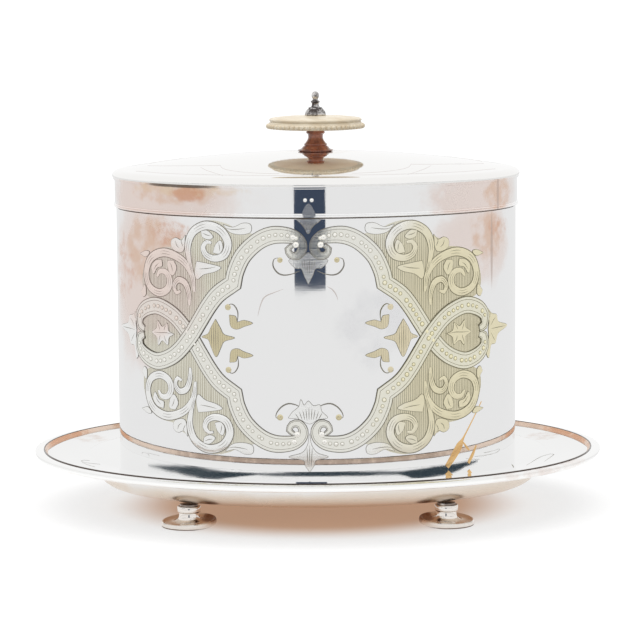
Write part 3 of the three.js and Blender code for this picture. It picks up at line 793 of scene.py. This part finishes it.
def flowing(points, step=1.2):
    """A smooth line through given points, which may carry half widths too, at about this spacing."""
    line = [Vector(point) for point in points]
    line = [line[0] * 2 - line[1]] + line + [line[-1] * 2 - line[-2]]
    path = []
    for a, b, c, d in zip(line, line[1:], line[2:], line[3:]):
        pieces = max(1, round((c - b).length / step))
        for i in range(pieces):
            t = i / pieces
            path.append(0.5 * (2 * b + (c - a) * t + (2 * a - 5 * b + 4 * c - d) * t ** 2
                               + (3 * b - a - 3 * c + d) * t ** 3))
    return path + [line[-2]]


def closed(points, step=0.9):
    """A smooth line round given points and back to the first."""
    return flowing([*points, points[0]], step)


def sideways(path):
    """For each point of a flat path, the step aside that keeps one width round its bends and corners."""
    steps = []
    for i, point in enumerate(path):
        back = (point - path[i - 1]).xy if i > 0 else (path[1] - point).xy
        on = (path[i + 1] - point).xy if i < len(path) - 1 else back
        back, on = back.normalized(), on.normalized()
        aside = Vector((-back.y - on.y, back.x + on.x))
        steps.append(aside / max(aside.dot(Vector((-back.y, back.x))), 0.5))
    return steps


def add_strip(form, path, profile, lift=0.0):
    """A strip along a path of (across, up, half width). The profile is (share of half width, lift) pairs."""
    rows = []
    for point, aside in zip(path, sideways(path)):
        rows.append([form.verts.new((*(point.xy + aside * point.z * share), lift + high))
                     for share, high in profile])
    for row, following in zip(rows, rows[1:]):
        for i in range(len(profile) - 1):
            form.faces.new((row[i], row[i + 1], following[i + 1], following[i]))


def beside(path, share, half_width=1):
    """The path that runs beside another at a share of its half width, with a half width of its own."""
    return [Vector((*(point.xy + aside * point.z * share), half_width))
            for point, aside in zip(path, sideways(path))]


def add_line(form, points, half_width=0.22, lift=0.1, taper=True):
    """A thin line through points, which swells from its ends when it tapers."""
    path = [Vector((point[0], point[1], half_width)) for point in points]
    if taper:
        for i, point in enumerate(path):
            share = i / (len(path) - 1)
            point.z = half_width * (0.25 + 0.75 * math.sin(math.pi * share))
    add_strip(form, path, [(-1, -0.05), (0, 0.04), (1, -0.05)], lift)


def add_leaf(form, points, lift, rise=0.1, inset=0.5):
    """A closed shape through given points, raised like a cushion inside its edge."""
    corners = [form.verts.new((point.x, point.y, lift)) for point in closed(points)[:-1]]
    ring = [form.edges.new((a, b)) for a, b in zip(corners, corners[1:] + corners[:1])]
    made = bmesh.ops.triangle_fill(form, use_beauty=True, use_dissolve=False, edges=ring)
    faces = [item for item in made["geom"] if isinstance(item, bmesh.types.BMFace)]
    if inset and faces:
        bmesh.ops.inset_region(form, faces=faces, thickness=inset, depth=0, use_even_offset=True)
        for corner in {corner for face in faces for corner in face.verts}:
            corner.co.z = lift + rise


def add_hatch(form, points, pitch=0.95, half_width=0.17, lift=0.06):
    """Fine upright strokes in a closed shape, a little uneven as cut by hand."""
    corners = [Vector(point).xy for point in closed(points, 1.2)]
    across = min(corner.x for corner in corners) + pitch / 2
    high = max(corner.x for corner in corners)
    margin = 0.2
    while across < high:
        crossings = sorted(a.y + (b.y - a.y) * (across - a.x) / (b.x - a.x)
                           for a, b in zip(corners, corners[1:] + corners[:1])
                           if (a.x - across) * (b.x - across) < 0)
        for start, end in zip(crossings[::2], crossings[1::2]):
            if end - start > 1:
                length = end - margin - (start + margin)
                pieces = max(1, round(length / 6))
                sway = draw_random.uniform(-0.12, 0.12)
                path = [(across + sway * math.sin(3 * share), start + margin + length * share)
                        for share in (i / pieces for i in range(pieces + 1))]
                add_line(form, path, half_width * draw_random.uniform(0.75, 1.2), lift)
        across += pitch


def add_bead(form, point, radius, lift, flatness=0.5):
    matrix = Matrix.Translation((point[0], point[1], lift)) @ Matrix.Diagonal((1, 1, flatness, 1))
    bmesh.ops.create_uvsphere(form, u_segments=9, v_segments=6, radius=radius, matrix=matrix)


# The ornament is the same in its four quarters, so one quarter is set out here, right of the middle and
# above it.
band_start = [(7.2, 132.9, 0.9), (9.2, 131.2, 1.2), (8.0, 128.6, 1.4), (4.9, 128.2, 1.7), (2.8, 131.2, 2.0),
              (3.7, 134.9, 2.3), (8.2, 137.2, 3.3), (16.2, 137.5, 3.85), (23.2, 134.5, 3.85),
              (29.9, 128.2, 3.85), (33.6, 120.9, 3.85), (34.9, 115.3, 3.85)]
band_end = [(34.9, 115.3, 3.85), (42.3, 110.1, 3.85), (47.2, 104.4, 3.85), (52.3, 96.8, 3.85),
            (57.2, 89.7, 3.85), (63.6, 82.8, 3.8), (69.8, 78.9, 3.8), (77.4, 76.9, 3.8),
            (85.2, 78.8, 3.6), (89.8, 82.6, 3.0), (89.4, 87.2, 2.2), (86.2, 88.4, 1.5)]
scrolls = [
    [(54.5, 116.5, 0.6), (57.0, 124.0, 1.1), (57.9, 131.5, 1.7), (55.0, 138.0, 1.9), (48.2, 141.3, 2.0),
     (41.0, 139.4, 2.0), (37.3, 133.8, 1.9), (38.9, 128.2, 1.8), (43.9, 126.3, 1.6), (48.3, 127.8, 1.4),
     (49.8, 131.2, 1.2), (47.9, 133.7, 0.9), (45.4, 133.3, 0.6)],
    [(54.6, 110.5, 0.7), (56.0, 118.6, 1.4), (61.6, 125.0, 1.8), (71.6, 127.8, 2.0), (80.6, 124.6, 2.0),
     (84.2, 117.6, 1.9), (81.9, 111.4, 1.8), (75.4, 108.9, 1.8), (70.0, 111.0, 1.8), (68.6, 115.4, 1.7),
     (71.0, 118.7, 1.4), (74.7, 118.8, 1.1), (76.6, 116.4, 0.7)],
    [(57.4, 104.2, 0.7), (57.6, 109.5, 1.2), (59.6, 114.3, 1.5), (63.6, 115.6, 1.4), (66.0, 112.6, 1.1),
     (64.6, 109.6, 0.9), (62.2, 110.6, 0.6)],
]
leaves = [
    [(39.4, 141.9), (34.7, 140.8), (30.1, 142.7), (26.4, 142.2), (26.4, 138.8), (31.0, 137.6),
     (36.2, 138.6)],
    [(53.2, 124.6), (47.9, 123.9), (41.0, 122.4), (43.8, 120.3), (49.4, 118.8), (53.0, 116.4),
     (54.2, 119.4)],
    [(50.6, 138.6), (47.4, 138.9), (44.6, 136.2), (46.8, 134.9), (50.0, 136.0)],
    [(44.6, 129.0), (41.6, 128.6), (39.8, 131.2), (40.8, 134.6), (43.4, 132.6)],
    [(59.2, 136.4), (61.4, 133.9), (64.6, 134.9), (67.3, 133.3), (66.4, 129.6), (60.6, 128.9)],
    [(66.0, 124.4), (64.4, 121.0), (66.6, 117.4), (69.0, 119.4), (69.6, 123.8)],
    [(73.4, 124.4), (73.2, 121.4), (76.4, 120.4), (78.8, 117.4), (80.2, 120.6), (77.6, 123.6)],
    [(88.4, 108.6), (85.2, 111.8), (84.6, 107.6), (86.8, 106.2)],
    [(88.9, 126.1), (84.2, 125.0), (81.6, 127.2), (84.2, 127.8)],
]
inner_leaf = [(36.9, 100.6), (36.2, 95.6), (33.3, 94.3), (30.0, 95.6), (25.9, 97.2), (30.0, 98.4),
              (33.0, 97.6), (33.9, 100.1)]
ground_outline = [(25.5, 138), (32, 139.5), (38, 142.4), (46, 143.6), (54, 140.6), (58.6, 136), (62, 134.5),
                  (66.5, 131), (74, 129.8), (81, 126.8), (86, 120), (87.4, 113), (85, 107.5), (78, 104.6),
                  (66, 98), (57, 90), (50, 99), (44, 107), (36, 114), (34, 122), (29, 130), (22, 136)]
# The last of these is the tendril that springs from the inner leaf.
veins = [
    [(28.6, 140.6), (32.0, 140.0), (35.6, 139.8), (38.2, 140.4)],
    [(43.6, 122.4), (47.6, 121.6), (52.0, 121.2)],
    [(45.8, 136.6), (48.0, 137.0), (49.8, 137.8)], [(41.2, 129.8), (41.4, 132.0), (41.9, 133.6)],
    [(60.4, 131.0), (61.4, 133.0), (61.2, 134.4)], [(62.6, 130.4), (64.2, 131.6), (64.8, 133.6)],
    [(66.6, 119.4), (67.2, 121.6), (68.2, 123.2)], [(75.2, 122.6), (77.0, 121.4), (78.6, 119.4)],
    [(33.4, 97.0), (32.8, 99.8), (33.0, 102.8), (34.6, 105.2), (36.4, 105.7), (37.9, 104.6)],
]
tendril_ball = (37.6, 104.2, 1.45)
volute_beads = [(6.9, 136.6, 1.3), (5.6, 133.2, 1.5)]

# What stands across the level middle is set out right of the middle only.
loop_outline = [(61.0, 89.8), (65.5, 95.4), (71.4, 99.2), (78.0, 100.4), (84.0, 98.8), (87.4, 94.6),
                (87.0, 89.8), (87.4, 85.0), (84.0, 80.8), (78.0, 79.2), (71.4, 80.4), (65.5, 84.2)]
middle_leaves = [
    [(43.8, 98.4), (41.4, 94.4), (39.6, 91.6), (34.6, 90.2), (39.6, 88.4), (41.4, 85.2), (43.7, 81.2),
     (46.2, 85.8), (47.6, 89.0), (50.8, 90.0), (47.6, 91.6), (46.2, 94.4)],
    [(66.4, 90.2), (69.6, 91.6), (70.4, 95.0), (73.6, 93.2), (76.4, 95.8), (77.2, 92.4), (80.4, 90.2),
     (77.0, 88.0), (76.2, 84.4), (73.6, 86.8), (70.2, 85.0), (69.4, 88.4)],
    [(92.6, 99.6), (95.4, 97.2), (99.7, 96.0), (101.4, 92.6), (110.6, 90.0), (101.4, 87.4), (98.6, 83.0),
     (95.0, 82.4), (93.2, 76.6), (91.2, 79.8), (93.2, 86.0), (92.8, 90.0), (93.4, 94.0), (91.0, 97.0)],
]
middle_veins = [
    [(94.6, 89.9), (99.0, 90.1), (104.0, 90.0), (108.4, 90.0)], [(94.8, 91.6), (97.0, 94.0), (98.6, 95.0)],
    [(94.8, 88.2), (96.6, 86.0), (98.0, 84.2)], [(93.8, 95.4), (94.2, 97.4), (93.0, 98.8)],
    [(67.4, 90.2), (71.0, 90.6), (75.2, 90.3), (79.2, 90.2)], [(72.4, 91.6), (71.8, 93.4), (70.9, 94.4)],
    [(75.0, 91.4), (75.8, 93.4), (76.3, 95.0)], [(72.2, 89.0), (71.6, 87.0), (70.7, 85.8)],
    [(75.0, 89.2), (75.6, 87.2), (76.1, 85.4)],
]

# Over the top volutes stands a fan and under them a drop, and the lower pair has its own fan and drop.
centre_leaves = [
    [(-5.2, 144.6), (5.2, 144.6), (2.0, 141.6), (0.4, 138.4), (-0.4, 138.4), (-2.0, 141.6)],
    [(0, 115.4), (1.8, 119.1), (3.2, 122.4), (5.8, 122.6), (8.8, 126.0), (5.4, 127.2), (2.6, 127.6),
     (0, 129.6), (-2.6, 127.6), (-5.4, 127.2), (-8.8, 126.0), (-5.8, 122.6), (-3.2, 122.4), (-1.8, 119.1)],
    [(-9.6, 54.0), (-7.6, 56.8), (-4.8, 59.2), (-3.8, 62.4), (-2.4, 59.8), (-0.4, 61.8), (1.8, 59.6),
     (4.8, 60.0), (5.6, 57.0), (8.2, 54.2), (4.0, 53.4), (0, 51.4), (-4.8, 53.6)],
    [(0, 29.2), (1.9, 32.0), (3.0, 34.6), (8.4, 36.0), (3.4, 38.0), (0.8, 41.8), (0, 46.6), (-0.8, 41.8),
     (-3.4, 38.0), (-9.4, 36.0), (-3.0, 34.6), (-1.9, 32.0)],
]
centre_tendrils = [
    [(3.8, 121.4), (7.5, 119.9), (11.3, 119.4), (14.2, 120.6), (16.1, 123.6), (15.6, 126.6), (13.6, 127.2)],
    [(3.4, 58.4), (6.0, 60.0), (9.6, 60.6), (12.8, 59.0), (15.0, 56.2), (15.3, 54.2), (14.2, 53.4)],
]
centre_balls = [(12.9, 126.2, 1.3), (13.4, 54.2, 1.45)]
# The veins of a fan or drop start at these places across and these heights, which fall towards its sides,
# and run to a share of the place across and to a height of their own, which rises.
centre_veins = [
    [(across, start - abs(across) * fall), (across * share, end + abs(across) * rise)]
    for places, start, fall, share, end, rise in (
        ((-3.6, -2.4, -1.2, 0, 1.2, 2.4, 3.6), 143.8, 0.1, 0.45, 139.6, 0.3),
        ((-3.0, -1.8, -0.6, 0.6, 1.8, 3.0), 127.2, 0.3, 0.8, 119.0, 1.2),
        ((-6.4, -4.6, -3.0, -1.6, -0.2, 1.2, 2.6, 4.2, 5.8), 59.0, 0.45, 0.7, 53.2, 0),
        ((-1.2, 0, 1.2), 41.5, 1, 0.6, 31.5, 0),
    ) for across in places
]

kinds = ("ground", "hatch", "leaves", "tan", "bands", "lines", "rings", "beads", "faint", "drips")
drawing = {kind: bmesh.new() for kind in kinds}
draw_random = random.Random(7)
band_profile = [(-1, 0), (-0.96, 0.1), (-0.7, 0.1), (-0.6, 0.0), (0.6, 0.0), (0.7, 0.1), (0.96, 0.1), (1, 0)]
bead_spacing = 3.15
bead_radius = 0.78


def turned_over(points, side, flip=False):
    """Given points moved to another quarter of the ornament."""
    return [(across * side, 2 * engraving_middle - up if flip else up, *rest)
            for across, up, *rest in points]


def draw_leaf(points, lift=0.1, kind="leaves"):
    add_leaf(drawing[kind], points, lift)
    add_line(drawing["lines"], closed(points), 0.2, lift + 0.03, taper=False)


def draw_lines(lines, half_width, lift, kind="lines"):
    for points in lines:
        add_line(drawing[kind], flowing(points), half_width, lift)


def draw_ground(outline):
    add_leaf(drawing["ground"], outline, 0.02, inset=0)
    add_hatch(drawing["hatch"], outline)


def draw_scroll(points):
    """A tapering stem with cut edges, and short cuts along it inside."""
    path = flowing(points)
    add_strip(drawing["leaves"], path, [(-1, 0), (-0.5, 0.12), (0.4, 0.1), (1, 0)], 0.1)
    for share in (-1, 1):
        add_line(drawing["lines"], beside(path, share), 0.24, 0.14)
    for share in (-0.35, 0.3):
        cut = beside(path, share)
        for start in range(2, len(cut) - 6, 9):
            add_line(drawing["lines"], cut[start:start + 6], 0.13, 0.24)


def draw_band(side, flip, lift):
    """One strap from its volute over the corner to its curled end, with cut edges and a row of beads."""
    path = flowing(turned_over(band_start, side, flip), 1.4)
    path += flowing(turned_over(band_end, side, flip), 1.4)[1:]
    add_strip(drawing["bands"], path, band_profile, lift)
    for share, half_width in ((-1, 0.24), (-0.66, 0.13), (0.66, 0.13), (1, 0.24)):
        add_line(drawing["lines"], beside(path, share), half_width, lift + 0.11, taper=False)
    travelled, due = 0.0, bead_spacing
    for a, b in zip(path, path[1:]):
        travelled += (b - a).xy.length
        if travelled >= due and b.z > 2.6:
            radius = bead_radius * draw_random.uniform(0.8, 1.15)
            add_bead(drawing["beads"], b, radius, lift + 0.06)
            bmesh.ops.create_circle(drawing["rings"], cap_ends=True, radius=radius + 0.3, segments=10,
                                    matrix=Matrix.Translation((b.x, b.y, lift + 0.04)))
        if travelled >= due:
            due += bead_spacing * draw_random.uniform(0.92, 1.08)


for side in (-1, 1):
    for flip in (False, True):
        draw_ground(turned_over(ground_outline, side, flip))
        for points in scrolls:
            draw_scroll(turned_over(points, side, flip))
        for points in leaves:
            draw_leaf(turned_over(points, side, flip))
        draw_leaf(turned_over(inner_leaf, side, flip), kind="tan")
        draw_lines([turned_over(points, side, flip) for points in veins], 0.24, 0.22)
        for across, up, radius in turned_over([tendril_ball], side, flip):
            add_bead(drawing["tan"], (across, up), radius, 0.05, 0.25)
        # Left of the middle the upper strap runs over the lower, and right of it the lower over the upper.
        over = (side == -1) != flip
        draw_band(side, flip, 0.36 if over else 0.2)
        for across, up, radius in turned_over(volute_beads, side, flip):
            add_bead(drawing["beads"], (across, up), radius, 0.3)
    draw_ground(turned_over(loop_outline, side))
    for points, kind in zip(middle_leaves, ("tan", "leaves", "leaves")):
        draw_leaf(turned_over(points, side), kind=kind)
    draw_lines([turned_over(points, side) for points in middle_veins], 0.22, 0.22)
    draw_lines([turned_over(points, side) for points in centre_tendrils], 0.34, 0.12)
    for across, up, radius in turned_over(centre_balls, side):
        add_bead(drawing["tan"], (across, up), radius, 0.05, 0.25)
    add_hatch(drawing["lines"], turned_over(middle_leaves[0], side), 1.1, 0.16, 0.24)
    for flip in (False, True):
        add_hatch(drawing["lines"], turned_over(inner_leaf, side, flip), 1.1, 0.14, 0.24)
for points in centre_leaves:
    draw_leaf(points, 0.12)
draw_lines(centre_veins, 0.18, 0.26)

# A faint painted reflection line, the ragged end of the dark reflection on the wall, runs under the top
# drop, and drips of lacquer have run down at the right.
draw_lines([[(-23.4, 100.5), (-21.9, 106), (-20, 109.4), (-16, 111.3), (-11.5, 113)],
            [(8.2, 114.2), (10.5, 113), (12.5, 110.4), (13.2, 108)]], 0.35, 0.03, "faint")
for points in ([(87.8, 56.6, 0.3), (81, 47.6, 0.35), (75.8, 40.6, 0.6), (73.6, 37.4, 1.9), (69.6, 32.2, 1.7),
                (66.2, 28.2, 1.3)], [(84.2, 36.4, 0.4), (81.8, 32.4, 0.9), (79, 28.6, 0.9)],
               [(75, 39.6, 0.3), (78.5, 35.6, 0.6), (79.8, 34.6, 0.2)]):
    add_strip(drawing["drips"], flowing(points), [(-1, -0.02), (0, 0.05), (1, -0.02)], 0.03)


def quarter_turns(width, depth, count=900):
    """The angle against the length of wall from the front's middle, for a quarter of an oval."""
    table = [(0.0, 0.0)]
    turn_step = math.pi / 2 / count
    for i in range(count):
        turn = (i + 0.5) * turn_step
        length = math.hypot(width * math.cos(turn), depth * math.sin(turn)) * turn_step
        table.append((table[-1][0] + length, (i + 1) * turn_step))
    return table


def lay_on_oval(form, half, cut_every=2):
    """Cuts a flat drawing into upright strips, so that it can bend, lays it on an oval of this half size,
    and turns its faces away from the box."""
    width, depth = (part / mm for part in half)
    table = quarter_turns(width, depth)
    lengths = [entry[0] for entry in table]
    low = min(corner.co.x for corner in form.verts)
    high = max(corner.co.x for corner in form.verts)
    cut = math.floor(low / cut_every) * cut_every
    while cut < high:
        bmesh.ops.bisect_plane(form, geom=form.verts[:] + form.edges[:] + form.faces[:],
                               plane_co=(cut, 0, 0), plane_no=(1, 0, 0), dist=0.001)
        cut += cut_every
    for corner in form.verts:
        across = corner.co.x + engraving_shift
        i = min(bisect.bisect_right(lengths, abs(across)), len(table) - 1)
        share = (abs(across) - lengths[i - 1]) / (lengths[i] - lengths[i - 1])
        turn = table[i - 1][1] + (table[i][1] - table[i - 1][1]) * share
        turn = math.copysign(turn, across)
        outward = Vector((math.sin(turn) / width, -math.cos(turn) / depth, 0)).normalized()
        base = Vector((width * math.sin(turn), -depth * math.cos(turn), corner.co.y + engraving_drop))
        corner.co = (base + outward * corner.co.z) * mm
    form.normal_update()
    for face in form.faces:
        middle = face.calc_center_median()
        if face.normal.x * middle.x / wall_half[0] ** 2 + face.normal.y * middle.y / wall_half[1] ** 2 < 0:
            face.normal_flip()


# Each kind of mark has one colour on the left of the box, another on the right, and a pinkish one at the
# far left.
right_side = (75, -45, 90), (78, 80, 95)
far_left = (-74, -45, 112), (32, 60, 34)
engraved_materials = {
    kind: silver("engraved_" + kind, srgb(*left), roughness=roughness, scratch=0.8, dent=0.8,
                 stains_and_shade=[(srgb(*right), *right_side, 1.0, 40, 1.0),
                         (srgb(*pinkish), *far_left, 0.7, 16, 0.8)])
    for kind, left, right, pinkish, roughness in (
        ("ground", (230, 227, 212), (228, 221, 194), (228, 213, 205), 0.2),
        ("hatch", (176, 170, 148), (170, 163, 134), (178, 160, 150), 0.3),
        ("leaves", (248, 248, 246), (239, 231, 200), (238, 214, 202), 0.14),
        ("tan", (216, 205, 170), (234, 224, 196), (220, 204, 186), 0.25),
        ("bands", (241, 240, 232), (240, 237, 218), (238, 226, 219), 0.12),
        ("lines", (140, 136, 128), (144, 138, 112), (158, 136, 128), 0.3),
        ("rings", (206, 204, 192), (190, 184, 150), (200, 184, 174), 0.3),
        ("beads", (252, 250, 244), (253, 246, 210), (240, 220, 208), 0.12),
    )
}
# The faint material serves the lid's faint cut lines and the painted reflection line under the top drop.
engraved_materials["faint"] = silver("engraved_faint", srgb(214, 206, 202), roughness=0.2)
engraved_materials["drips"] = silver("lacquer_drips", srgb(238, 198, 140), roughness=0.2)
for kind in kinds:
    lay_on_oval(drawing[kind], wall_half)
    finish_piece(f"engraved_{kind}", drawing[kind], engraved_materials[kind], "box_and_stand",
                 crease=math.radians(12 if kind == "bands" else 60))

lid_leaf_height = 0.52
lid_leaf = bmesh.new()
add_leaf(lid_leaf, [(-2.0, 145.6), (2.6, 145.6), (3.4, 147.2), (2.0, 150.0), (0.4, 152.0), (-1.4, 150.4),
                    (-2.6, 147.4)], lid_leaf_height, rise=0.08)
for across in (-1.3, 1.7):
    add_bead(lid_leaf, (across, 153.4), 0.9, 0.1)
lay_on_oval(lid_leaf, half_sizes("lid_band")[0])
finish_piece("engraved_lid_leaf", lid_leaf, engraved_materials["leaves"], "lid")


# The lid and the tray's border carry a few lighter lines of the same scrolls.
def surface_lines(name, lines, height_at, half_width, kind, body):
    """Fine cut lines from (across, deep) points, laid on a nearly level surface."""
    form = bmesh.new()
    for points in lines:
        add_line(form, flowing(points, 2), half_width, 0.03)
    for corner in form.verts:
        across, deep, lift = corner.co
        corner.co = Vector((across, deep, height_at(across, deep) + lift)) * mm
    form.normal_update()
    for face in form.faces:
        if face.normal.z < 0:
            face.normal_flip()
    finish_piece(name, form, engraved_materials[kind], body)


def crown_height(across, deep):
    drops = [part ** 2 / (2 * radius / mm) for part, radius in zip((across, deep), crown_radii)]
    return crown_top / mm - sum(drops)


def border_height(across, deep):
    low, high = 0.0, 1.0
    for _ in range(12):
        share = (low + high) / 2
        width, depth = between(wall_half, border_end, share)
        if math.hypot(across * mm / width, deep * mm / depth) > 1:
            low = share
        else:
            high = share
    return (border_top + border_rise(share)) / mm


lid_fronts = [
    [(-44.4, -35.5), (-42.6, -45.7), (-38.0, -52.7), (-31.2, -58.0), (-23.4, -61.6), (-16.5, -63.4)],
    [(-53.5, -36.9), (-50.4, -46.0), (-46.6, -53.4), (-42.2, -60.5)],
    [(-79.5, -8.1), (-72.0, -18.6), (-63.3, -26.6), (-54.0, -33.2), (-44.2, -38.0)],
    [(-84.0, -24.0), (-70.0, -42.0), (-50.0, -56.0), (-26.0, -64.8), (0, -67.6)],
]
lid_lines = [[(x * sx, y * sy) for x, y in line] for line in lid_fronts for sx in (-1, 1) for sy in (-1, 1)]
front_leaf_lines = [
    [(-4, -66.4), (-1.5, -64.4), (1, -66.6)], [(-1.5, -68.4), (-1.5, -63.2)],
    [(-6, -67.4), (-5, -65.2), (-3, -64.8)], [(3, -67.4), (2, -65.2), (0, -64.8)],
]
tray_lines = [
    [(-101.9, -37.4), (-108.4, -34.4), (-111.4, -29.6), (-110.2, -26.8), (-107.6, -27.4)],
    [(-110.6, -34.0), (-106.6, -42.0), (-103.6, -46.4)],
    [(97.3, -47.5), (103.9, -28.3), (107.1, -21.6), (110.8, -16.9), (112.3, -18.4), (109.6, -27.6),
     (106.4, -38.1)],
    [(90.5, -43.5), (90.9, -49.0), (90.8, -54.2)],
]
surface_lines("lid_lines", lid_lines, crown_height, 0.3, "faint", "lid")
surface_lines("front_leaf_lines", front_leaf_lines, crown_height, 0.4, "lines", "lid")
surface_lines("tray_lines", tray_lines, border_height, 0.32, "lines", "box_and_stand")


# Hidden metal
# A pin joins the two leaves of the hinge at the back, and a stud with its washer and nut holds the finial
# on the lid. They are turned and bent from metal, and keep their own solids in the inside's silver.

for node in ("body_hinge_leaf", "lid_hinge_leaf", "lid_washer", "hinge_pin", "lid_nut", "finial_stud"):
    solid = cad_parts[node]
    solid.data.materials.clear()
    solid.data.materials.append(inner_silver)
